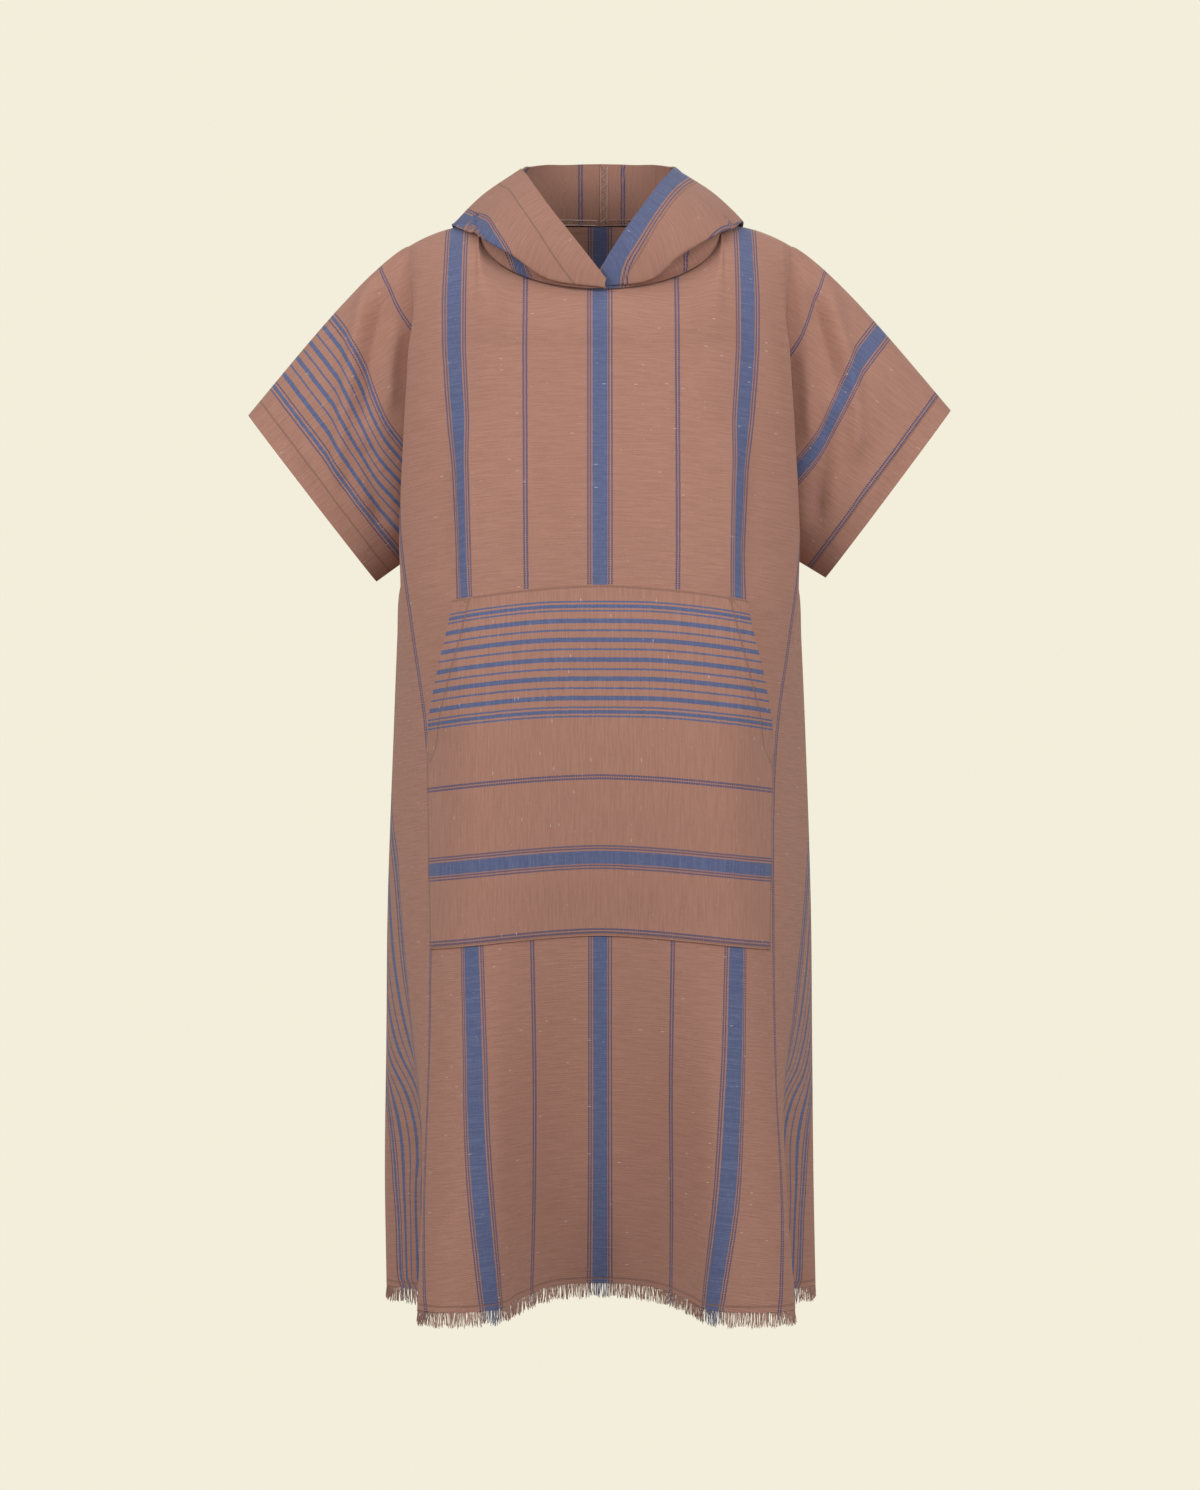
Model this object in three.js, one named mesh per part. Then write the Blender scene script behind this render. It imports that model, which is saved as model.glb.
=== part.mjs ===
import * as THREE from "three";

// Hooded surf poncho of striped towelling cloth, filled out as if worn.
// Millimetres, +Z up, the front faces -Y, and "left" is the side with negative X.
// The origin lies between the shoulders, where the wearer carries the poncho.

// Cloth and seams
const CLOTH = 1.6;
const SEAM_GAP = 0.4;
const FOOT_LIFT = 0.8;
const HOOD_CLEARANCE = 4.2;
const SEAM_ARCH = 2.5;
const LAP = CLOTH + SEAM_GAP;

// Heights are given as drops below the origin
const YOKE_DROP = 150;
const UNDERARM_DROP = 345;
const SLIT_TOP_DROP = 879;
const HEM_DROP = { seam: 1068, side: 1069, tuck: 1070, fold: 1074, crest: 1073, centre: 1061 };
const BACK_HEM_DROP = 1066;
const SLIT_SPREAD = 11;

// Shoulders and neck
const NECK_HALF = 120;
const NECK_SIDE_Y = 5;
const NECK_TOP_Z = -18;
const NECK_FRONT = { y: -76, z: -93, yPower: 0.25, zPower: 0.75, spread: 1.6 };
const NECK_NAPE = { y: 70, z: -8, yPower: 1, zPower: 1, spread: 1 };
const SHOULDER_RUN = 70;
const SHOULDER_FALL = 21;

// Sleeves: the armhole's half depth, and the two corners of each hem
const ARMHOLE_HALF_DEPTH = 44;
const SLEEVE_HEM_HALF_DEPTH = 44;
const SLEEVE_BULGE = 8;
const SLEEVE_HEM = {
  left: { top: [351, -208], under: [224, -373] },
  right: { top: [350, -203], under: [226, -369] },
};

// Pocket on the front
const POCKET = {
  topDrop: 384,
  cornerDrop: 527,
  bottomDrop: 719,
  topHalf: 140,
  cornerHalf: 166,
  bottomHalf: 161,
  sideDroop: 14,
  standOff: 2.7,
};

// Fringe along both hems
const FRINGE = { strip: 2.5, length: 12, strandsFront: 72, strandsBack: 64, rootShare: 0.6 };

// Grid steps between neighbouring section lines, counted from the side seam to the middle
const FRONT_STEPS = [2, 2, 3, 3, 6];
const BACK_STEPS = [3, 3, 6];
const YOKE_ROWS = 5;
const CHEST_ROWS = 4;
const SKIRT_ROWS = 13;
const SLEEVE_ROWS = 8;
const POCKET_EDGE_STEPS = 3;
const HOOD_STEPS = [3, 2, 3, 3, 2];
const HOOD_SPLIT = 2;

// The left half of the hood laps over the right one in front
const FRONT_OVERLAP = 6;
const FRONT_LIFT = 4;

// Front half sections: crest, fold, tuck and side give each line's distance out and its Y
const FRONT_HALF = {
  left: table("drop crestX crestY foldX foldY tuckX tuckY sideX sideY seamX", [
    [150, 122, -99, 187, -63, 184, -57, 182, -50, 179],
    [345, 122, -130, 195.5, -66, 190.7, -44, 185.8, -22, 181],
    [523, 124, -150, 173, -95, 193, -55, 204, -22, 203],
    [700, 122, -158, 172, -114, 194, -72, 209.5, -30, 208],
    [830, 122, -165, 167, -134, 184, -92, 210, -38, 208],
    [960, 128, -171, 168, -148, 162, -96, 210.5, -42, 209],
    [1075, 136, -178, 173, -155, 148, -90, 208, -48, 206],
  ]),
  right: table("drop crestX crestY foldX foldY tuckX tuckY sideX sideY seamX", [
    [150, 122, -99, 185, -63, 183, -57, 181, -50, 178],
    [345, 122, -130, 194.5, -66, 190, -44, 185.5, -22, 181],
    [523, 126, -150, 174, -95, 192, -55, 203, -22, 202],
    [700, 124, -158, 174, -114, 193, -72, 208, -30, 207],
    [830, 124, -165, 169, -134, 184, -92, 208.5, -38, 207],
    [960, 132, -171, 176, -148, 170, -96, 209, -42, 208],
    [1075, 142, -178, 185, -155, 158, -90, 210.5, -48, 208],
  ]),
};
const FRONT_CENTRE = table("drop y", [
  [150, -98],
  [345, -134],
  [523, -150],
  [700, -142],
  [830, -126],
  [960, -104],
  [1075, -78],
]);
const BACK_HALF = table("drop centreY crestX crestY flankX flankY", [
  [150, 86, 118, 82, 178, 68],
  [345, 98, 118, 98, 191, 66],
  [523, 106, 114, 112, 197, 58],
  [700, 108, 118, 124, 200, 64],
  [830, 104, 122, 134, 199, 68],
  [960, 97, 126, 144, 198, 72],
  [1075, 88, 130, 154, 198, 76],
]);

// Hood stations from the middle of the neck's front (0) over the shoulder (6) to the nape (12):
// B is the top of the standing inner layer, C the lowest roll and D the opening's edge
const HOOD_ROLL_LEFT = table("station cX cY cZ dX dY dZ puff", [
  [0, -4, -87, -88, -6, -87, -83, 0],
  [1, 49, -92, -77, 22, -76, -46, 3],
  [2, 84, -88, -61, 49, -55, -9, 6],
  [3, 106, -78, -43, 64, -33, 15, 8],
  [4, 120, -62, -27, 73, -11, 31, 7],
  [5, 134, -40, -19, 77, 0, 37, 5],
  [6, 147, -14, -16, 79, 12, 41, 4],
  [7, 144, 38, -29, 79, 33, 43, 6],
  [8, 131, 82, -76, 71, 57, 42, 10],
  [9, 110, 110, -128, 56, 79, 39, 16],
  [10, 78, 126, -172, 38, 94, 36, 22],
  [11, 40, 134, -202, 19, 102, 34, 26],
  [12, 0, 137, -212, 0, 105, 34, 28],
]);
const HOOD_ROLL_RIGHT = table("station cX cY cZ dX dY dZ puff", [
  [0, -3, -79, -87, -3, -78, -78, 0],
  [1, 47, -91, -79, 20, -76, -40, 3],
  [2, 76, -89, -56, 45, -55, -3, 6],
  [3, 98, -80, -42, 58, -33, 18, 8],
  [4, 120, -62, -27, 68, -11, 32, 7],
  [5, 134, -40, -19, 72, 0, 38, 5],
  [6, 143, -14, -15, 74, 12, 42, 4],
  [7, 142, 38, -28, 76, 33, 44, 6],
  [8, 130, 82, -76, 70, 57, 42, 10],
  [9, 110, 110, -128, 56, 79, 39, 16],
  [10, 78, 126, -172, 38, 94, 36, 22],
  [11, 40, 134, -202, 19, 102, 34, 26],
  [12, 0, 137, -212, 0, 105, 34, 28],
]);
const HOOD_STAND = table("station bX bY bZ", [
  [6, 118, 6, -6],
  [7, 92, 20, 22],
  [8, 72, 34, 42],
  [9, 54, 48, 50],
  [10, 36, 56, 53],
  [11, 18, 61, 54.5],
  [12, 0, 62, 55],
]);

// A table is a set of named columns of numbers; the first column holds the knots
function table(names, rows) {
  const columns = {};
  names.split(" ").forEach((name, c) => {
    columns[name] = rows.map((row) => row[c]);
  });
  columns.knots = rows.map((row) => row[0]);
  return columns;
}

// Smooth value of one column at a place between the knots
function read(columns, name, place) {
  const x = columns.knots;
  const y = columns[name];
  const last = x.length - 1;
  const at = Math.min(Math.max(place, x[0]), x[last]);
  let k = 0;
  while (k < last - 1 && at > x[k + 1]) k += 1;
  const secant = (i) => (y[i + 1] - y[i]) / (x[i + 1] - x[i]);
  const slope = (i) => {
    if (i === 0) return secant(0);
    if (i === last) return secant(last - 1);
    return (secant(i - 1) + secant(i)) / 2;
  };
  const run = x[k + 1] - x[k];
  const t = (at - x[k]) / run;
  const t2 = t * t;
  const t3 = t2 * t;
  return (
    (2 * t3 - 3 * t2 + 1) * y[k] +
    (t3 - 2 * t2 + t) * run * slope(k) +
    (3 * t2 - 2 * t3) * y[k + 1] +
    (t3 - t2) * run * slope(k + 1)
  );
}

function mix(a, b, share) {
  return a + (b - a) * share;
}

function smooth(from, to, value) {
  const t = Math.min(Math.max((value - from) / (to - from), 0), 1);
  return t * t * (3 - 2 * t);
}

// Places of the grid lines, in spans, when each span is cut into its number of steps
function spanPlaces(steps) {
  const places = [0];
  steps.forEach((count, span) => {
    for (let k = 1; k <= count; k += 1) places.push(span + k / count);
  });
  return places;
}

// Point on the shoulder ridge: share 0 at the armhole, 1 at the neck
function ridgePoint(sign, share) {
  const run = SHOULDER_RUN * (1 - share);
  const fall = SHOULDER_FALL * (1 - share) ** 2;
  return new THREE.Vector3(sign * (NECK_HALF + run), NECK_SIDE_Y * share, NECK_TOP_Z - fall);
}

// Point on the neck seam: share 0 on the shoulder, 1 in the middle of the front or the nape
function neckPoint(sign, share, middle) {
  const angle = (share ** middle.spread * Math.PI) / 2;
  return new THREE.Vector3(
    sign * NECK_HALF * Math.cos(angle),
    mix(NECK_SIDE_Y, middle.y, Math.sin(angle) ** middle.yPower),
    mix(NECK_TOP_Z, middle.z, Math.sin(angle) ** middle.zPower),
  );
}

// Depth of the armhole edge from the middle plane at a drop
function armholeDepth(drop) {
  const top = SHOULDER_FALL - NECK_TOP_Z;
  const half = (UNDERARM_DROP - top) / 2;
  const share = Math.min(Math.abs(drop - top - half) / half, 1);
  return ARMHOLE_HALF_DEPTH * Math.sqrt(1 - share * share);
}

// Half of the distance between the front and back edges at the side
function sideParting(drop) {
  return SEAM_GAP / 2 + SLIT_SPREAD * smooth(SLIT_TOP_DROP, HEM_DROP.seam, drop);
}

function seamDepth(drop) {
  return Math.max(armholeDepth(drop), sideParting(drop));
}

// Section lines of the front at a drop, from the left side seam to the right one
function frontSection(drop) {
  const half = (side, sign) => {
    const rows = FRONT_HALF[side];
    const line = (name) =>
      new THREE.Vector3(sign * read(rows, `${name}X`, drop), read(rows, `${name}Y`, drop), -drop);
    const seam = new THREE.Vector3(sign * read(rows, "seamX", drop), -seamDepth(drop), -drop);
    const fold = line("fold");
    if (drop > UNDERARM_DROP) return [seam, line("side"), line("tuck"), fold, line("crest")];
    return [seam, seam.clone().lerp(fold, 1 / 3), seam.clone().lerp(fold, 2 / 3), fold, line("crest")];
  };
  const centre = new THREE.Vector3(0, read(FRONT_CENTRE, "y", drop), -drop);
  return [...half("left", -1), centre, ...half("right", 1).reverse()];
}

// Section lines of the back at a drop, from the right side seam to the left one
function backSection(drop) {
  const half = (side, sign) => {
    const seam = new THREE.Vector3(
      sign * read(FRONT_HALF[side], "seamX", drop),
      seamDepth(drop),
      -drop,
    );
    const line = (name) =>
      new THREE.Vector3(
        sign * read(BACK_HALF, `${name}X`, drop),
        read(BACK_HALF, `${name}Y`, drop),
        -drop,
      );
    return [seam, line("flank"), line("crest")];
  };
  const centre = new THREE.Vector3(0, read(BACK_HALF, "centreY", drop), -drop);
  return [...half("right", 1), centre, ...half("left", -1).reverse()];
}

// Point of a section at a place counted in spans
function sectionPoint(lines, place) {
  const curve = new THREE.CatmullRomCurve3(lines, false, "centripetal");
  return curve.getPoint(place / (lines.length - 1));
}

// One body panel as a grid of points: columns across, rows from the shoulder to the hem
function panelGrid({ section, steps, shoulderPlaces, middle, hemDrops, signs }) {
  const spans = steps.length;
  const half = spanPlaces(steps);
  const places = [...half, ...half.slice(0, -1).reverse().map((place) => 2 * spans - place)];
  const drops = [];
  for (let k = 0; k <= CHEST_ROWS; k += 1) {
    drops.push({ fixed: mix(YOKE_DROP, UNDERARM_DROP, k / CHEST_ROWS) });
  }
  for (let k = 1; k <= SKIRT_ROWS; k += 1) drops.push({ share: k / SKIRT_ROWS });
  return places.map((place) => {
    const sign = place < spans ? signs[0] : signs[1];
    const inward = place < spans ? place : 2 * spans - place;
    const span = Math.min(Math.floor(inward), spans - 1);
    const onNeck = inward >= spans - 1;
    const top = onNeck
      ? neckPoint(sign, inward - span, middle)
      : ridgePoint(sign, mix(shoulderPlaces[span], shoulderPlaces[span + 1], inward - span));
    if (!onNeck || inward === spans - 1) top.y += (Math.sign(middle.y) * SEAM_GAP) / 2;
    const yoke = sectionPoint(section(YOKE_DROP), place);
    const start = onNeck ? Math.asin((top.y - NECK_SIDE_Y) / (yoke.y - NECK_SIDE_Y)) : 0;
    const hem = mix(hemDrops[span], hemDrops[span + 1], inward - span);
    const column = [];
    for (let k = 0; k < YOKE_ROWS; k += 1) {
      const share = k / YOKE_ROWS;
      const turn = mix(start, Math.PI / 2, share);
      const out = (Math.sin(turn) - Math.sin(start)) / (1 - Math.sin(start));
      const down = (Math.cos(start) - Math.cos(turn)) / Math.cos(start);
      column.push(
        new THREE.Vector3(
          mix(top.x, yoke.x, share * share),
          mix(top.y, yoke.y, out),
          mix(top.z, yoke.z, down),
        ),
      );
    }
    drops.forEach(({ fixed, share }) => {
      const drop = fixed ?? mix(UNDERARM_DROP, hem, share);
      column.push(sectionPoint(section(drop), place));
    });
    return column;
  });
}

// Unit normals of a grid, square to its columns and rows
function gridNormals(grid, loop) {
  const last = grid.length - 1;
  const rows = grid[0].length - 1;
  return grid.map((column, i) =>
    column.map((_, j) => {
      const before = loop ? grid[(i + last) % (last + 1)] : grid[Math.max(i - 1, 0)];
      const after = loop ? grid[(i + 1) % (last + 1)] : grid[Math.min(i + 1, last)];
      const across = after[j].clone().sub(before[j]);
      const down = column[Math.min(j + 1, rows)].clone().sub(column[Math.max(j - 1, 0)]);
      return across.cross(down).normalize();
    }),
  );
}

function solid(positions, index) {
  const geometry = new THREE.BufferGeometry();
  geometry.setAttribute("position", new THREE.Float32BufferAttribute(positions, 3));
  geometry.setIndex(index);
  geometry.computeVertexNormals();
  return geometry;
}

// Closed wall of cloth round a grid of points; a loop joins the last column to the first
function clothWall(grid, loop = false, normals = gridNormals(grid, loop)) {
  const columns = grid.length;
  const rows = grid[0].length;
  const positions = [];
  for (const face of [0.5, -0.5]) {
    grid.forEach((column, i) =>
      column.forEach((point, j) => {
        positions.push(...point.clone().addScaledVector(normals[i][j], face * CLOTH).toArray());
      }),
    );
  }
  const at = (face, i, j) => face * columns * rows + (i % columns) * rows + j;
  const index = [];
  const quad = (a, b, c, d) => index.push(a, b, c, a, c, d);
  const spans = loop ? columns : columns - 1;
  for (let i = 0; i < spans; i += 1) {
    for (let j = 0; j < rows - 1; j += 1) {
      quad(at(0, i, j), at(0, i + 1, j), at(0, i + 1, j + 1), at(0, i, j + 1));
      quad(at(1, i, j), at(1, i, j + 1), at(1, i + 1, j + 1), at(1, i + 1, j));
    }
    const foot = rows - 1;
    quad(at(1, i, 0), at(1, i + 1, 0), at(0, i + 1, 0), at(0, i, 0));
    quad(at(0, i, foot), at(0, i + 1, foot), at(1, i + 1, foot), at(1, i, foot));
  }
  if (!loop) {
    const end = columns - 1;
    for (let j = 0; j < rows - 1; j += 1) {
      quad(at(0, 0, j), at(0, 0, j + 1), at(1, 0, j + 1), at(1, 0, j));
      quad(at(0, end, j + 1), at(0, end, j), at(1, end, j), at(1, end, j + 1));
    }
  }
  return solid(positions, index);
}

// Normals of a body panel, turned so that its shoulder and side edges face their neighbours
function panelNormals(grid, steps) {
  const normals = gridNormals(grid, false);
  const end = grid.length - 1;
  const onShoulder = steps.slice(0, -1).reduce((sum, count) => sum + count, 0);
  grid.forEach((column, i) => {
    if (i <= onShoulder || i >= end - onShoulder) normals[i][0].setY(0).normalize();
  });
  for (const i of [0, end]) {
    for (let j = YOKE_ROWS + CHEST_ROWS; j < grid[i].length; j += 1) {
      normals[i][j].setY(0).normalize();
    }
  }
  return normals;
}

// Sleeve tube: nested in the armhole, open at both ends
function sleeveGrid(frontEdge, backEdge, sign, hem) {
  const ring = [...frontEdge, ...backEdge.slice(1, -1).reverse()];
  const count = frontEdge.length - 1;
  const middle = frontEdge[0].clone().add(frontEdge[count]).multiplyScalar(0.5);
  const corner = ([out, z]) => new THREE.Vector3(sign * out, 0, z);
  const top = corner(hem.top);
  const under = corner(hem.under);
  const hemMiddle = top.clone().add(under).multiplyScalar(0.5);
  const hemHalf = top.clone().sub(under).multiplyScalar(0.5);
  return ring.map((edge, k) => {
    const inset = new THREE.Vector3(0, middle.y - edge.y, middle.z - edge.z).setLength(LAP + 1.1);
    const start = edge.clone().add(inset);
    const angle = (k * Math.PI) / count;
    const finish = hemMiddle.clone().addScaledVector(hemHalf, Math.cos(angle));
    finish.y = -SLEEVE_HEM_HALF_DEPTH * Math.sin(angle);
    const column = [];
    for (let j = 0; j <= SLEEVE_ROWS; j += 1) {
      const share = j / SLEEVE_ROWS;
      const swell = SLEEVE_BULGE * Math.sin(share * Math.PI) ** 1.5;
      const point = start.clone().lerp(finish, share);
      const topShare = Math.max(Math.cos(angle), 0) ** 2;
      point.x += sign * 0.72 * swell * topShare;
      point.z += 0.69 * swell * topShare;
      point.y -= swell * Math.sin(angle);
      column.push(point);
    }
    return column;
  });
}

// Hood half: each column is a section from the neck seam to the opening's edge
function hoodGrid(neck, rolls, sign, lift) {
  const stations = (neck.length - 1) * HOOD_SPLIT;
  const places = spanPlaces(HOOD_STEPS);
  const grid = [];
  for (let k = 0; k <= stations; k += 1) {
    const station = k / HOOD_SPLIT;
    const low = Math.min(Math.floor(station), neck.length - 2);
    const foot = neck[low].clone().lerp(neck[low + 1], station - low);
    foot.y -= lift * (1 - smooth(0.3, 1.6, station));
    const line = (columns, name) =>
      new THREE.Vector3(
        sign * read(columns, `${name}X`, station),
        read(columns, `${name}Y`, station),
        read(columns, `${name}Z`, station),
      );
    const roll = line(rolls, "c");
    const edge = line(rolls, "d");
    const rise = foot.clone().lerp(roll, 0.4);
    rise.z += SEAM_ARCH;
    rise.lerp(line(HOOD_STAND, "b"), smooth(5, 7, station));
    if (k === stations) [rise, roll, edge].forEach((point) => point.setX((sign * SEAM_GAP) / 2));
    const outward = new THREE.Vector3(roll.x, roll.y, 0).normalize();
    const fall = rise.clone().lerp(roll, mix(0.5, 0.62, smooth(6, 9, station)));
    fall.addScaledVector(outward, -8 * smooth(6, 9, station));
    const puff = read(rolls, "puff", station);
    const face = roll.clone().lerp(edge, 0.5).addScaledVector(outward, puff);
    const lines = [foot, rise, fall, roll, face, edge];
    grid.push(places.map((place) => sectionPoint(lines, place)));
  }
  return grid;
}

// Triangles of a panel's upper rows, each with its normal towards the inside
function upperTriangles(panel) {
  const triangles = [];
  for (let i = 0; i < panel.length - 1; i += 1) {
    for (let j = 0; j < YOKE_ROWS; j += 1) {
      const corners = [panel[i][j], panel[i + 1][j], panel[i + 1][j + 1], panel[i][j + 1]];
      for (const [b, c] of [[1, 2], [2, 3]]) {
        const triangle = new THREE.Triangle(corners[0], corners[b], corners[c]);
        triangles.push({ triangle, inward: triangle.getNormal(new THREE.Vector3()) });
      }
    }
  }
  return triangles;
}

// Hood points that would lie on or in a panel, moved out to a clear distance from it
function keepClear(grid, triangles) {
  const near = new THREE.Vector3();
  grid.forEach((column) =>
    column.forEach((point, j) => {
      const clearance = j === 0 ? LAP + FOOT_LIFT : HOOD_CLEARANCE;
      let best = { distance: 3 * HOOD_CLEARANCE };
      triangles.forEach(({ triangle, inward }) => {
        triangle.closestPointToPoint(point, near);
        const distance = near.distanceTo(point);
        if (distance < best.distance) best = { distance, inward, depth: near.sub(point).dot(inward) };
      });
      if (best.inward && best.depth < clearance) {
        point.addScaledVector(best.inward, best.depth - clearance);
      }
    }),
  );
  return grid;
}

// Neck seam of one side, from the middle of the front to the nape, just above the panels
function neckRun(front, back, side) {
  const run = [];
  const frontMiddle = (front.length - 1) / 2;
  const backMiddle = (back.length - 1) / 2;
  const count = FRONT_STEPS[FRONT_STEPS.length - 1];
  const sign = side === "left" ? -1 : 1;
  const lifted = (point, forward) => {
    const up = new THREE.Vector3(0, forward, Math.sqrt(1 - forward * forward));
    return point.clone().addScaledVector(up, LAP + FOOT_LIFT);
  };
  for (let k = 0; k <= count; k += 1) {
    run.push(lifted(front[frontMiddle + sign * k][0], mix(-0.93, -0.1, k / count)));
  }
  for (let k = count - 1; k >= 0; k -= 1) {
    run.push(lifted(back[backMiddle - sign * k][0], mix(0.9, 0.1, k / count)));
  }
  run[run.length - 1].x = (sign * SEAM_GAP) / 2;
  run[0].x = -sign * (side === "left" ? FRONT_OVERLAP : SEAM_GAP);
  return run;
}

// Pocket: points of the front between the pocket's edges, moved out
function pocketGrid() {
  const upperRows = 5;
  const lowerRows = 6;
  const rows = [];
  const addRows = (count, from, fromDrop, fromHalf, toDrop, toHalf) => {
    for (let j = from; j <= count; j += 1) {
      rows.push({ drop: mix(fromDrop, toDrop, j / count), half: mix(fromHalf, toHalf, j / count) });
    }
  };
  const { topDrop, cornerDrop, bottomDrop, topHalf, cornerHalf, bottomHalf } = POCKET;
  addRows(upperRows, 0, topDrop, topHalf, cornerDrop, cornerHalf);
  addRows(lowerRows, 1, cornerDrop, cornerHalf, bottomDrop, bottomHalf);
  const middle = FRONT_STEPS.length;
  const inner = spanPlaces([POCKET_EDGE_STEPS, FRONT_STEPS[middle - 1]]);
  const places = [...inner, ...inner.slice(0, -1).reverse().map((place) => 4 - place)];
  const points = places.map((place) =>
    rows.map(({ drop, half }) => {
      const sign = place < 2 ? -1 : 1;
      const inward = place < 2 ? place : 4 - place;
      const edgeDrop = drop + POCKET.sideDroop;
      const edge = frontPlace(sign * half, edgeDrop);
      const crest = middle + sign;
      const at = inward < 1 ? mix(edge, crest, inward) : mix(crest, middle, inward - 1);
      const nearness = sectionPoint(frontSection(drop), at).x / half;
      return sectionPoint(frontSection(drop + POCKET.sideDroop * nearness ** 2), at);
    }),
  );
  const normals = gridNormals(points, false);
  return points.map((column, i) =>
    column.map((point, j) => point.clone().addScaledVector(normals[i][j], -POCKET.standOff)),
  );
}

// Place on the front's section at a drop that lies at a distance from the middle line
function frontPlace(x, drop) {
  const lines = frontSection(drop);
  let low = 3;
  let high = 7;
  for (let k = 0; k < 24; k += 1) {
    const guess = (low + high) / 2;
    if (sectionPoint(lines, guess).x < x) low = guess;
    else high = guess;
  }
  return (low + high) / 2;
}

// Fringe: a narrow strip under a hem with its strands, which hang from the strip's lower edge.
// The hem runs so that the outside of the cloth lies to the right of its direction.
function fringeSolid(hem, count) {
  const lengths = [0];
  for (let k = 1; k < hem.length; k += 1) {
    lengths.push(lengths[k - 1] + hem[k].distanceTo(hem[k - 1]));
  }
  const total = lengths[hem.length - 1];
  const pitch = total / count;
  const half = CLOTH / 2;
  const along = (distance) => {
    let k = 0;
    while (k < hem.length - 2 && lengths[k + 1] < distance) k += 1;
    const share = (distance - lengths[k]) / (lengths[k + 1] - lengths[k]);
    const point = hem[k].clone().lerp(hem[k + 1], share);
    const before = hem[Math.max(k - 1, 0)];
    const after = hem[Math.min(k + 2, hem.length - 1)];
    const tangent = after.clone().sub(before).setZ(0).normalize();
    return { point, outward: new THREE.Vector3(tangent.y, -tangent.x, 0), tangent };
  };
  const positions = [];
  const vertex = (distance, out, drop, lean = 0) => {
    const { point, outward, tangent } = along(distance);
    point.addScaledVector(outward, out * half).addScaledVector(tangent, lean);
    positions.push(point.x, point.y, point.z - drop);
    return positions.length / 3 - 1;
  };
  const index = [];
  const triangle = (a, b, c) => index.push(a, b, c);
  const quad = (a, b, c, d) => index.push(a, b, c, a, c, d);
  const topDrop = SEAM_GAP + 0.2;
  const rootDrop = topDrop + FRINGE.strip;
  const edge = (distance) => ({
    outTop: vertex(distance, 1, topDrop),
    inTop: vertex(distance, -1, topDrop),
  });
  const corner = (distance) => ({
    out: vertex(distance, 1, rootDrop),
    in: vertex(distance, -1, rootDrop),
  });
  const tops = [];
  for (let s = 0; s <= count; s += 1) tops.push(edge(s * pitch));
  const start = corner(0);
  const finish = corner(total);
  const margin = (1 - FRINGE.rootShare) / 2;
  const roots = [];
  for (let s = 0; s < count; s += 1) {
    const wave = Math.sin(s * 2.4) + 0.6 * Math.sin(s * 5.3);
    const tipDrop = rootDrop + FRINGE.length + 0.7 * wave;
    const lean = 0.8 * Math.sin(s * 3.7);
    const place = (share) => (s + share) * pitch;
    const tipPlace = (share) => (s + 0.5 + 0.6 * (share - 0.5)) * pitch;
    roots.push({
      left: vertex(place(margin), 1, rootDrop),
      right: vertex(place(1 - margin), 1, rootDrop),
      back: vertex(place(0.5), -1, rootDrop),
      tipLeft: vertex(tipPlace(margin), 1, tipDrop, lean),
      tipRight: vertex(tipPlace(1 - margin), 1, tipDrop, lean),
      tipBack: vertex(tipPlace(0.5), -1, tipDrop, lean),
    });
  }
  roots.forEach((root, s) => {
    const here = tops[s];
    const next = tops[s + 1];
    quad(here.outTop, root.left, root.right, next.outTop);
    triangle(here.inTop, next.inTop, root.back);
    quad(here.outTop, next.outTop, next.inTop, here.inTop);
    quad(root.left, root.tipLeft, root.tipRight, root.right);
    quad(root.right, root.tipRight, root.tipBack, root.back);
    quad(root.back, root.tipBack, root.tipLeft, root.left);
    triangle(root.tipLeft, root.tipBack, root.tipRight);
    if (s === count - 1) return;
    const after = roots[s + 1];
    triangle(next.outTop, root.right, after.left);
    triangle(next.inTop, after.back, root.back);
    quad(root.right, root.back, after.back, after.left);
  });
  const first = roots[0];
  triangle(tops[0].outTop, start.out, first.left);
  triangle(tops[0].inTop, first.back, start.in);
  quad(start.out, start.in, first.back, first.left);
  quad(start.out, tops[0].outTop, tops[0].inTop, start.in);
  const last = roots[count - 1];
  triangle(tops[count].outTop, last.right, finish.out);
  triangle(tops[count].inTop, finish.in, last.back);
  quad(last.right, last.back, finish.in, finish.out);
  quad(tops[count].outTop, finish.out, finish.in, tops[count].inTop);
  return solid(positions, index);
}

function cloth(color) {
  return new THREE.MeshStandardMaterial({ color, roughness: 0.95, metalness: 0 });
}

const TERRACOTTA = 0xa87d69;
const TERRACOTTA_SHADE = 0x8c6455;
const POCKET_TONE = 0xb08670;

const poncho = new THREE.Group();

function addPiece(name, geometry, color) {
  const piece = new THREE.Mesh(geometry, cloth(color));
  piece.name = name;
  poncho.add(piece);
}

const hemList = (names) => names.map((name) => HEM_DROP[name]);
const front = panelGrid({
  section: frontSection,
  steps: FRONT_STEPS,
  shoulderPlaces: [0, 0.06, 0.13, 0.28, 1],
  middle: NECK_FRONT,
  hemDrops: hemList(["seam", "side", "tuck", "fold", "crest", "centre"]),
  signs: [-1, 1],
});
const back = panelGrid({
  section: backSection,
  steps: BACK_STEPS,
  shoulderPlaces: [0, 0.28, 1],
  middle: NECK_NAPE,
  hemDrops: [HEM_DROP.seam, BACK_HEM_DROP, BACK_HEM_DROP, BACK_HEM_DROP],
  signs: [1, -1],
});
const frontNormals = panelNormals(front, FRONT_STEPS);
const backNormals = panelNormals(back, BACK_STEPS);

addPiece("front", clothWall(front, false, frontNormals), TERRACOTTA);
addPiece("back", clothWall(back, false, backNormals), TERRACOTTA);

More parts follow.
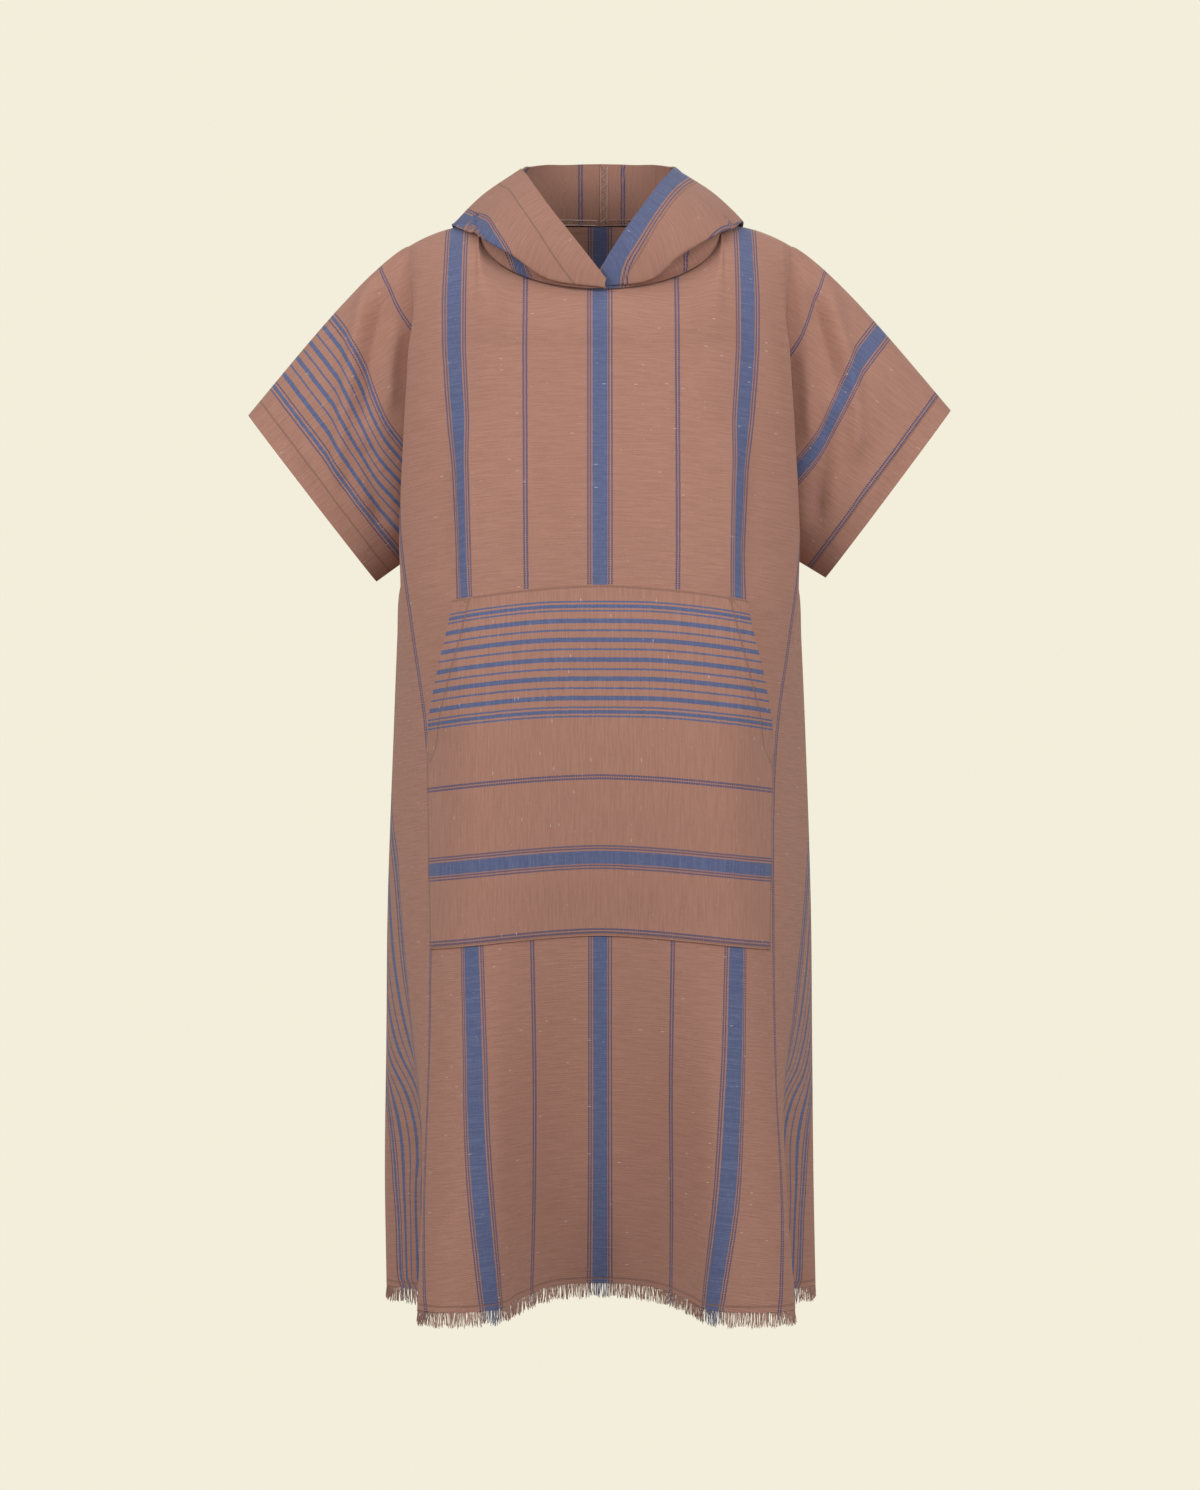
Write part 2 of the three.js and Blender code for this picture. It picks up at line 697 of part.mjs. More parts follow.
const armholeRows = YOKE_ROWS + CHEST_ROWS + 1;
const frontEnd = front.length - 1;
const backEnd = back.length - 1;
const armholes = {
  left: [front[0].slice(0, armholeRows), back[backEnd].slice(0, armholeRows)],
  right: [front[frontEnd].slice(0, armholeRows), back[0].slice(0, armholeRows)],
};
for (const [side, sign] of [["left", -1], ["right", 1]]) {
  const [frontEdge, backEdge] = armholes[side];
  const grid = sleeveGrid(frontEdge, backEdge, sign, SLEEVE_HEM[side]);
  addPiece(`sleeve_${side}`, clothWall(grid, true), TERRACOTTA);
}

const leftNeck = neckRun(front, back, "left");
const rightNeck = neckRun(front, back, "right");
const hoodLeft = hoodGrid(leftNeck, HOOD_ROLL_LEFT, -1, FRONT_LIFT);
const hoodRight = hoodGrid(rightNeck, HOOD_ROLL_RIGHT, 1, 0);
for (const grid of [hoodLeft, hoodRight]) {
  for (const panel of [front, back]) keepClear(grid, upperTriangles(panel));
}
addPiece("hood_left", clothWall(hoodLeft), TERRACOTTA_SHADE);
addPiece("hood_right", clothWall(hoodRight), TERRACOTTA_SHADE);

addPiece("pocket", clothWall(pocketGrid()), POCKET_TONE);

const hemOf = (grid) => grid.map((column) => column[column.length - 1]);
addPiece("fringe_front", fringeSolid(hemOf(front), FRINGE.strandsFront), TERRACOTTA);
addPiece("fringe_back", fringeSolid(hemOf(back), FRINGE.strandsBack), TERRACOTTA);

export default poncho;
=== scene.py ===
"""Looks of the surf poncho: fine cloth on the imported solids' form, woven stripes, seams and fringe."""

import math

import bpy
import numpy as np
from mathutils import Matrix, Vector
from mathutils.bvhtree import BVHTree


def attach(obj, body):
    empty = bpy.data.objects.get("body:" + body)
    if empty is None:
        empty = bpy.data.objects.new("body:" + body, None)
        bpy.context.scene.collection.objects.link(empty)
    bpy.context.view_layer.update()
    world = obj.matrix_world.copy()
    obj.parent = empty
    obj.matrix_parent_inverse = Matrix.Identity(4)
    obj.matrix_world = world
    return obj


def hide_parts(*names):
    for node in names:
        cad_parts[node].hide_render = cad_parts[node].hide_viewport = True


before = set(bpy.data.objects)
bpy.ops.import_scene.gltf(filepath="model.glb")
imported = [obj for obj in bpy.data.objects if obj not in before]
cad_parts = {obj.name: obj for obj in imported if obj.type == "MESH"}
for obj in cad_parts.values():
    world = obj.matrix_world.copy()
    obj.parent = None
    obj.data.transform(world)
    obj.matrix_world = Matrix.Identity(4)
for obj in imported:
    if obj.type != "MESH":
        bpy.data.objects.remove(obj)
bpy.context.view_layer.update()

# Shapes are worked out in millimetres, +Z up, and the front faces -Y. A drop is the distance below the
# origin, a share runs from 0 to 1, and a sign is -1 on the viewer's left and 1 on the right.
MM = 0.001
CLOTH = 1.6
SEAM_GAP = 0.4
HOOD_SEAM = 0.08
FOOT_LIFT = 0.8
HOOD_CLEARANCE = 4.2
SEAM_ARCH = 2.5
LAP = CLOTH + SEAM_GAP
NO_STITCH = 500.0

YOKE_DROP = 150
UNDERARM_DROP = 345
SLIT_TOP_DROP = 879
HEM_DROP = {"seam": 1068, "side": 1069, "tuck": 1070, "fold": 1074, "crest": 1073, "centre": 1061}
BACK_HEM_DROP = 1066
SLIT_SPREAD = 11

NECK_HALF = 120
NECK_SIDE_Y = 5
NECK_TOP_Z = -18
NECK_FRONT = {"y": -76, "z": -93, "yPower": 0.25, "zPower": 0.75, "spread": 1.6}
NECK_NAPE = {"y": 70, "z": -8, "yPower": 1, "zPower": 1, "spread": 1}
SHOULDER_RUN = 70
SHOULDER_FALL = 21

ARMHOLE_HALF_DEPTH = 44
SLEEVE_HEM_HALF_DEPTH = 44
SLEEVE_BULGE = 8
SLEEVE_HEM = {
    "left": {"top": (351, -208), "under": (224, -373)},
    "right": {"top": (350, -203), "under": (226, -369)},
}
# The pocket's top, corners and bottom: drops and half widths, and how far its sides hang lower
POCKET = {"drops": (384, 527, 719), "halves": (140, 166, 161), "sideDroop": 14}

# Fine grid: steps between neighbouring section lines, and rows
FRONT_STEPS = [7, 7, 13, 20, 34]
BACK_STEPS = [16, 20, 34]
YOKE_ROWS = 34
CHEST_ROWS = 44
SKIRT_ROWS = 150
SLEEVE_ROWS = 72
POCKET_EDGE_STEPS = 16
POCKET_ROWS = (44, 52)
HOOD_STEPS = [16, 12, 26, 26, 22]
HOOD_STATIONS = 132

FRONT_OVERLAP = 6
FRONT_LIFT = 4


def table(names, rows):
    """Columns of a table by name; the first one holds the places of the rows."""
    data = np.array(rows, float)
    columns = {name: data[:, c] for c, name in enumerate(names.split())}
    columns["knots"] = data[:, 0]
    return columns


# Sections of the front: each line's depth, then its distance from the middle on the left and right
FRONT_LINES = table(
    "drop crestY foldY tuckY sideY crest_left fold_left tuck_left side_left seam_left"
    " crest_right fold_right tuck_right side_right seam_right", [
    [150, -99, -63, -57, -50, 122, 187, 184, 182, 179, 122, 185, 183, 181, 178],
    [330, -127.8, -66, -45, -24, 122, 195.7, 190.7, 185.6, 180.9, 122, 194.7, 190, 185.3, 180.8],
    [345, -130, -66, -44, -22, 122, 195.5, 190.7, 185.8, 181, 122, 194.5, 190, 185.5, 181],
    [385, -136, -73, -48, -23, 122.5, 191.5, 195.5, 198.2, 195.5, 123.5, 191, 194.5, 196.8, 194.5],
    [430, -141, -80, -50, -24, 123, 186, 194, 200.4, 198.5, 125, 186, 193, 199, 197.4],
    [523, -150, -95, -55, -22, 124, 173, 193, 204, 203, 126, 174, 192, 203, 202],
    [700, -158, -114, -72, -30, 122, 172, 194, 209.5, 208, 124, 174, 193, 208, 207],
    [830, -165, -134, -92, -38, 122, 167, 184, 210, 208, 124, 169, 184, 208.5, 207],
    [960, -171, -148, -96, -42, 128, 168, 162, 210.5, 209, 132, 176, 170, 209, 208],
    [1075, -178, -155, -90, -48, 136, 173, 148, 208, 206, 142, 185, 158, 210.5, 208],
])
FRONT_CENTRE = table("drop y", [
    [150, -98],
    [345, -134],
    [523, -150],
    [700, -142],
    [830, -126],
    [960, -104],
    [1075, -78],
])
BACK_HALF = table("drop centreY crestX crestY flankX flankY", [
    [150, 86, 118, 82, 178, 68],
    [345, 98, 118, 98, 191, 66],
    [523, 106, 114, 112, 197, 58],
    [700, 108, 118, 124, 200, 64],
    [830, 104, 122, 134, 199, 68],
    [960, 97, 126, 144, 198, 72],
    [1075, 88, 130, 154, 198, 76],
])
# Stations run from the front to the back's middle; c is the hood's lower fold, d the opening's edge
HOOD_COLUMNS = "station cX cY cZ dX dY dZ puff"
HOOD_BACK = [
    [9, 110, 110, -128, 56, 79, 39, 16],
    [10, 78, 126, -172, 38, 94, 36, 22],
    [11, 40, 134, -202, 19, 102, 34, 26],
    [12, 0, 137, -212, 0, 105, 34, 28],
]
HOOD_ROLL = {}
HOOD_ROLL["left"] = table(HOOD_COLUMNS, [
    [0, -4, -86, -91, -6, -87, -83, 0],
    [1, 49, -85, -83, 22, -76, -46, 3],
    [2, 84, -88, -61, 49, -55, -9, 6],
    [3, 105, -78, -48, 64, -33, 15, 9],
    [4, 118, -63, -38, 73, -11, 31, 8],
    [5, 133, -41, -29, 77, 0, 37, 8],
    [6, 146, -14, -21, 79, 12, 41, 7],
    [7, 144, 38, -31, 79, 33, 43, 8],
    [8, 131, 82, -76, 71, 57, 42, 10],
    *HOOD_BACK,
])
HOOD_ROLL["right"] = table(HOOD_COLUMNS, [
    [0, -3, -79, -89, -3, -78, -78, 0],
    [1, 47, -85, -84, 20, -76, -40, 3],
    [2, 76, -90, -62, 45, -55, -3, 7],
    [3, 98, -80, -47, 58, -33, 18, 9],
    [4, 119, -63, -34, 68, -11, 32, 8],
    [5, 132, -41, -26, 72, 0, 38, 8],
    [6, 142, -14, -17, 74, 12, 42, 7],
    [7, 141, 38, -30, 76, 33, 44, 8],
    [8, 130, 82, -76, 70, 57, 42, 10],
    *HOOD_BACK,
])
HOOD_STAND = table("station bX bY bZ", [
    [6, 97, 8, 20],
    [7, 78, 22, 42.5],
    [8, 69, 35, 47.5],
    [9, 54, 47, 51.5],
    [10, 36, 56, 53],
    [11, 18, 61, 54.5],
    [12, 0, 62, 55],
])


# Curves and sections

def read(columns, name, place):
    """Smooth value of one column of a table at places between the knots."""
    x, y = columns["knots"], columns[name]
    at = np.clip(place, x[0], x[-1])
    k = np.searchsorted(x[1:-1], at, side="left")
    secant = np.diff(y) / np.diff(x)
    slope = np.concatenate([secant[:1], (secant[:-1] + secant[1:]) / 2, secant[-1:]])
    run = x[k + 1] - x[k]
    t = (at - x[k]) / run
    return (
        (2 * t**3 - 3 * t**2 + 1) * y[k]
        + (t**3 - 2 * t**2 + t) * run * slope[k]
        + (3 * t**2 - 2 * t**3) * y[k + 1]
        + (t**3 - t**2) * run * slope[k + 1]
    )


def mix(a, b, share):
    return a + (b - a) * share


def smooth(low, high, value):
    t = np.clip((value - low) / (high - low), 0, 1)
    return t * t * (3 - 2 * t)


def points(x, y, z):
    return np.stack(np.broadcast_arrays(x, y, z), -1).astype(float)


def unit(vectors):
    return vectors / np.maximum(np.linalg.norm(vectors, axis=-1, keepdims=True), 1e-9)


def span_places(steps):
    places = [0.0]
    for span, count in enumerate(steps):
        places += [span + (k + 1) / count for k in range(count)]
    return np.array(places)


def section_point(lines, place):
    """Point of each section at a place counted in spans: a centripetal spline through its lines."""
    lines, place = np.broadcast_arrays(lines, np.asarray(place)[..., None, None])[0], np.asarray(place)
    last = lines.shape[-2] - 1
    k = np.clip(np.floor(place).astype(int), 0, last - 1)
    t = (place - k)[..., None]

    def take(index):
        inside = np.clip(index, 0, last)[..., None, None]
        return np.take_along_axis(lines, np.broadcast_to(inside, (*index.shape, 1, 3)), -2)[..., 0, :]

    p1, p2 = take(k), take(k + 1)
    p0 = np.where((k > 0)[..., None], take(k - 1), 2 * p1 - p2)
    p3 = np.where((k + 2 <= last)[..., None], take(k + 2), 2 * p2 - p1)

    def spacing(a, b):
        return np.sum((a - b) ** 2, -1, keepdims=True) ** 0.25

    d0, d1, d2 = spacing(p0, p1), spacing(p1, p2), spacing(p2, p3)
    d1 = np.where(d1 < 1e-4, 1, d1)
    d0, d2 = np.where(d0 < 1e-4, d1, d0), np.where(d2 < 1e-4, d1, d2)
    m1 = ((p1 - p0) / d0 - (p2 - p0) / (d0 + d1) + (p2 - p1) / d1) * d1
    m2 = ((p2 - p1) / d1 - (p3 - p1) / (d1 + d2) + (p3 - p2) / d2) * d1
    return p1 + t * (m1 + t * (-3 * p1 + 3 * p2 - 2 * m1 - m2 + t * (2 * p1 - 2 * p2 + m1 + m2)))


def arc_lengths(line):
    """Length along a line of points, from its first one."""
    steps = np.linalg.norm(np.diff(line, axis=0), axis=-1)
    return np.concatenate([np.zeros((1, *steps.shape[1:])), np.cumsum(steps, 0)])


def differences(values):
    """Difference between the neighbours of each item along the first axis."""
    return np.concatenate([values[1:], values[-1:]]) - np.concatenate([values[:1], values[:-1]])


def down(function, grid):
    """A function of the first axis, used down the columns of a grid."""
    return np.swapaxes(function(np.swapaxes(grid, 0, 1)), 0, 1)


# Body panels

def ridge_point(sign, share):
    """Point of the shoulder's line, from its outer end to the neck's side."""
    run = SHOULDER_RUN * (1 - share)
    fall = SHOULDER_FALL * (1 - share) ** 2
    return points(sign * (NECK_HALF + run), NECK_SIDE_Y * share, NECK_TOP_Z - fall)


def neck_point(sign, share, middle):
    """Point of the neck's edge, from its side to the middle of the front or back."""
    angle = share ** middle["spread"] * math.pi / 2
    return points(
        sign * NECK_HALF * np.cos(angle),
        mix(NECK_SIDE_Y, middle["y"], np.sin(angle) ** middle["yPower"]),
        mix(NECK_TOP_Z, middle["z"], np.sin(angle) ** middle["zPower"]),
    )


def seam_depth(drop):
    """Half the distance between front and back along the armhole, the side seam and the slit."""
    top = SHOULDER_FALL - NECK_TOP_Z
    half = (UNDERARM_DROP - top) / 2
    share = np.minimum(np.abs(drop - top - half) / half, 1)
    armhole = ARMHOLE_HALF_DEPTH * np.sqrt(1 - share * share)
    parting = SEAM_GAP / 2 + SLIT_SPREAD * smooth(SLIT_TOP_DROP, HEM_DROP["seam"], drop)
    return np.maximum(armhole, parting)


def front_section(drop):
    """Section lines of the front at drops, from the left side seam to the right one."""

    def half(side, sign):
        def line(name):
            out = sign * read(FRONT_LINES, f"{name}_{side}", drop)
            return points(out, read(FRONT_LINES, name + "Y", drop), -drop)

        seam = points(sign * read(FRONT_LINES, f"seam_{side}", drop), -seam_depth(drop), -drop)
        fold = line("fold")
        low = np.asarray(drop > UNDERARM_DROP)[..., None]
        side_line = np.where(low, line("side"), mix(seam, fold, 1 / 3))
        tuck = np.where(low, line("tuck"), mix(seam, fold, 2 / 3))
        return [seam, side_line, tuck, fold, line("crest")]

    centre = points(0, read(FRONT_CENTRE, "y", drop), -drop)
    return np.stack([*half("left", -1), centre, *half("right", 1)[::-1]], -2)


def back_section(drop):
    """Section lines of the back at drops, from the right side seam to the left one."""

    def half(side, sign):
        seam = points(sign * read(FRONT_LINES, f"seam_{side}", drop), seam_depth(drop), -drop)

        def line(name):
            return points(sign * read(BACK_HALF, name + "X", drop), read(BACK_HALF, name + "Y", drop), -drop)

        return [seam, line("flank"), line("crest")]

    centre = points(0, read(BACK_HALF, "centreY", drop), -drop)
    return np.stack([*half("right", 1), centre, *half("left", -1)[::-1]], -2)


def panel_grid(section, steps, shoulder_places, middle, hem_drops, signs):
    """One body panel: a grid of points with columns across and rows from the shoulder to the hem."""
    spans = len(steps)
    half = span_places(steps)
    places = np.concatenate([half, (2 * spans - half[:-1])[::-1]])
    sign = np.where(places < spans, signs[0], signs[1])
    inward = np.where(places < spans, places, 2 * spans - places)
    span = np.minimum(np.floor(inward + 1e-9).astype(int), spans - 1)
    share = np.clip(inward - span, 0, 1)
    on_neck = inward >= spans - 1 - 1e-9
    shoulder = np.array([*shoulder_places, 1])
    ridge = ridge_point(sign, mix(shoulder[span], shoulder[span + 1], share))
    top = np.where(on_neck[:, None], neck_point(sign, share, middle), ridge)
    lifted = ~on_neck | (np.abs(inward - (spans - 1)) < 1e-9)
    top[lifted, 1] += np.sign(middle["y"]) * SEAM_GAP / 2
    yoke = section_point(section(np.full(len(places), float(YOKE_DROP))), places)
    lean = (top[:, 1] - NECK_SIDE_Y) / (yoke[:, 1] - NECK_SIDE_Y)
    start = np.where(on_neck, np.arcsin(np.clip(lean, -1, 1)), 0)[:, None]
    k = np.arange(YOKE_ROWS) / YOKE_ROWS
    turn = mix(start, math.pi / 2, k)
    out = (np.sin(turn) - np.sin(start)) / (1 - np.sin(start))
    fallen = (np.cos(start) - np.cos(turn)) / np.cos(start)
    upper = points(
        mix(top[:, :1], yoke[:, :1], k * k),
        mix(top[:, 1:2], yoke[:, 1:2], out),
        mix(top[:, 2:], yoke[:, 2:], fallen),
    )
    hems = np.array(hem_drops, float)
    eased = np.where(span == spans - 1, smooth(0.12, 0.86, share), share)
    hem = mix(hems[span], hems[span + 1], eased)[:, None]
    chest = np.tile(np.linspace(YOKE_DROP, UNDERARM_DROP, CHEST_ROWS + 1), (len(places), 1))
    skirt = mix(float(UNDERARM_DROP), hem, np.arange(1, SKIRT_ROWS + 1) / SKIRT_ROWS)
    drops = np.concatenate([chest, skirt], 1)
    lower = section_point(section(drops), np.broadcast_to(places[:, None], drops.shape))
    return np.concatenate([upper, lower], 1)


def grid_normals(grid, loop=False):
    """Unit normals of a grid, square to its columns and rows; a body panel's point to the inside."""
    if loop:
        across = np.roll(grid, -1, 0) - np.roll(grid, 1, 0)
    else:
        across = differences(grid)
    return unit(np.cross(across, down(differences, grid)))


def panel_normals(grid, steps):
    """A panel's normals, turned so that its shoulder and side edges face their neighbours."""
    normals = grid_normals(grid)
    on_shoulder = sum(steps[:-1])
    for part in (slice(0, on_shoulder + 1), slice(len(grid) - 1 - on_shoulder, None)):
        normals[part, 0, 1] = 0
    for i in (0, -1):
        normals[i, YOKE_ROWS + CHEST_ROWS:, 1] = 0
    return unit(normals)


# Soft creases

def crease(where, path, width, height, fade=0.25):
    """A soft ridge, or a trough where height is negative, along a path, fading towards its ends."""
    path = np.array(path, float)
    lengths = arc_lengths(path)
    total = lengths[-1]
    best = np.full(where.shape[:-1], 1e9)
    run = np.zeros(where.shape[:-1])
    for k in range(len(path) - 1):
        step = path[k + 1] - path[k]
        t = np.clip(((where - path[k]) @ step) / (step @ step), 0, 1)
        distance = np.linalg.norm(where - path[k] - t[..., None] * step, axis=-1)
        nearer = distance < best
        best = np.where(nearer, distance, best)
        run = np.where(nearer, (lengths[k] + t * (lengths[k + 1] - lengths[k])) / total, run)
    ends = smooth(0, fade, run) * smooth(0, fade, 1 - run) if fade else 1
    return height * np.exp(-((best / width) ** 2)) * ends


def creased(grid, normals, creases, hold=1.0):
    """The grid with its creases pushed out along the outside, seen from the front (X and Z)."""
    where = grid[..., [0, 2]]
    push = sum(crease(where, *item) for item in creases)
    return grid - normals * (push * hold)[..., None]


# Meshes

def placed(name, data):
    """A new object of the data, in the scene."""
    item = bpy.data.objects.new(name, data)
    bpy.context.scene.collection.objects.link(item)
    return item


SHARP_ANGLE = math.radians(52)


def sharp_mesh(name, vertices, faces, layers, material):
    """Mesh from millimetre points, with its UV layers given in metres of cloth at each point."""
    mesh = bpy.data.meshes.new(name)
    mesh.from_pydata((vertices * MM).tolist(), [], faces)
    corner = np.empty(len(mesh.loops), np.int32)
    mesh.loops.foreach_get("vertex_index", corner)
    for layer, values in layers.items():
        uv = mesh.uv_layers.new(name=layer)
        uv.data.foreach_set("uv", (values[corner] * MM).astype(np.float32).ravel())
    mesh.polygons.foreach_set("use_smooth", [True] * len(mesh.polygons))
    mesh.set_sharp_from_angle(angle=SHARP_ANGLE)
    mesh.update()
    mesh.materials.append(material)
    return placed(name, mesh)


def cloth_piece(name, grid, normals, cloth_uv, stitch_uv, material, loop=False, thick=CLOTH):
    """Closed thin wall of cloth on both sides of a grid of points."""
    columns, rows = grid.shape[:2]
    half = normals * (thick / 2)
    vertices = np.concatenate([(grid + half).reshape(-1, 3), (grid - half).reshape(-1, 3)])
    spans = columns if loop else columns - 1
    i, j = np.meshgrid(np.arange(spans), np.arange(rows - 1), indexing="ij")

    def at(face, a, b):
        return face * columns * rows + (a % columns) * rows + b

    def quads(*corners):
        return np.stack([np.ravel(c) for c in corners], -1)

    faces = [
        quads(at(0, i, j), at(0, i + 1, j), at(0, i + 1, j + 1), at(0, i, j + 1)),
        quads(at(1, i, j), at(1, i, j + 1), at(1, i + 1, j + 1), at(1, i + 1, j)),
    ]
    a = i[:, 0]
    foot = rows - 1
    faces.append(quads(at(1, a, 0), at(1, a + 1, 0), at(0, a + 1, 0), at(0, a, 0)))
    faces.append(quads(at(0, a, foot), at(0, a + 1, foot), at(1, a + 1, foot), at(1, a, foot)))
    if not loop:
        b = j[0]
        end = columns - 1
        faces.append(quads(at(0, 0, b), at(0, 0, b + 1), at(1, 0, b + 1), at(1, 0, b)))
        faces.append(quads(at(0, end, b + 1), at(0, end, b), at(1, end, b), at(1, end, b + 1)))
    layers = {
        "cloth": np.tile(cloth_uv.reshape(-1, 2), (2, 1)),
        "stitch": np.tile(stitch_uv.reshape(-1, 2), (2, 1)),
    }
    return sharp_mesh(name, vertices, np.concatenate(faces).tolist(), layers, material)


def thread_mesh(name, paths, radii, cloth_uv, material, sides=3):
    """Fine threads: each path is a row of points with a radius at each, closed at both ends."""
    paths = np.asarray(paths, float)
    count, length = paths.shape[:2]
    along = unit(down(differences, paths))
    side = unit(np.cross(along, [0.31, 0.87, 0.38]))
    other = np.cross(along, side)
    angle = np.arange(sides) * 2 * math.pi / sides
    ring = side[..., None, :] * np.cos(angle)[:, None] + other[..., None, :] * np.sin(angle)[:, None]
    vertices = paths[..., None, :] + ring * np.asarray(radii)[..., None, None]
    base = np.arange(count)[:, None, None] * length * sides
    step = np.arange(length - 1)[None, :, None] * sides
    s = np.arange(sides)[None, None, :]
    t = (s + 1) % sides
    start = base + step
    tube = np.stack([start + s, start + t, start + sides + t, start + sides + s], -1)
    faces = tube.reshape(-1, 4).tolist()
    root = base[:, 0, 0]
    faces += [[r + q for q in reversed(range(sides))] for r in root]
    faces += [[r + (length - 1) * sides + q for q in range(sides)] for r in root]
    uv = np.repeat(np.asarray(cloth_uv, float).reshape(count * length, 2), sides, 0)
    layers = {"cloth": uv, "stitch": np.full_like(uv, NO_STITCH)}
    return sharp_mesh(name, vertices.reshape(-1, 3), faces, layers, material)


# Cloth material

TERRACOTTA = (0.446, 0.231, 0.172)
TERRACOTTA_DARK = (0.372, 0.184, 0.134)
BLUE = (0.105, 0.129, 0.252)
BLUE_DARK = (0.060, 0.075, 0.175)
BLUE_PALE = (0.180, 0.205, 0.335)
THREAD = (0.52, 0.36, 0.27)
# painted shade: dark colour laid along the stitch grooves
GROOVE_SHADE_COLOUR = (0.235, 0.118, 0.088)
FLECK = (0.66, 0.60, 0.54)
FRINGE_PALE = (0.62, 0.47, 0.41)


DOT_LENGTH = 2.3
STITCH_LENGTH = 3.0
WEFT_PITCH = 1.9
BROAD_HALF = 7.3


def double_line(centre):
    return [(centre - 1.5, 0.95, "dots"), (centre + 1.5, 0.95, "dots")]


def broad(centre, half=BROAD_HALF):
    """A broad stripe with two fine lines on either side; each line's offset from its edge and half width."""
    lines = [
        (centre + math.copysign(half, offset) + offset, width, "dots")
        for offset, width in ((-4.6, 0.75), (-2.1, 0.75), (1.6, 0.75), (4.3, 0.75))
    ]
    return [(centre, half, "full"), *lines]


def line_group(start):
    """The closely set stripes: a triple, four thick ones with three thin ones between, a triple."""
    bands = []
    for centre in (start, start + 89.3):
        bands += [(centre, 1.7, "full"), (centre - 4.4, 0.8, "dots"), (centre + 4.4, 0.8, "dots")]
    bands += [(start + offset, 2.2, "full") for offset in (15.5, 36.3, 56.2, 76.5)]
    return bands + [(start + offset, 0.95, "full") for offset in (26.5, 46.4, 66.4)]


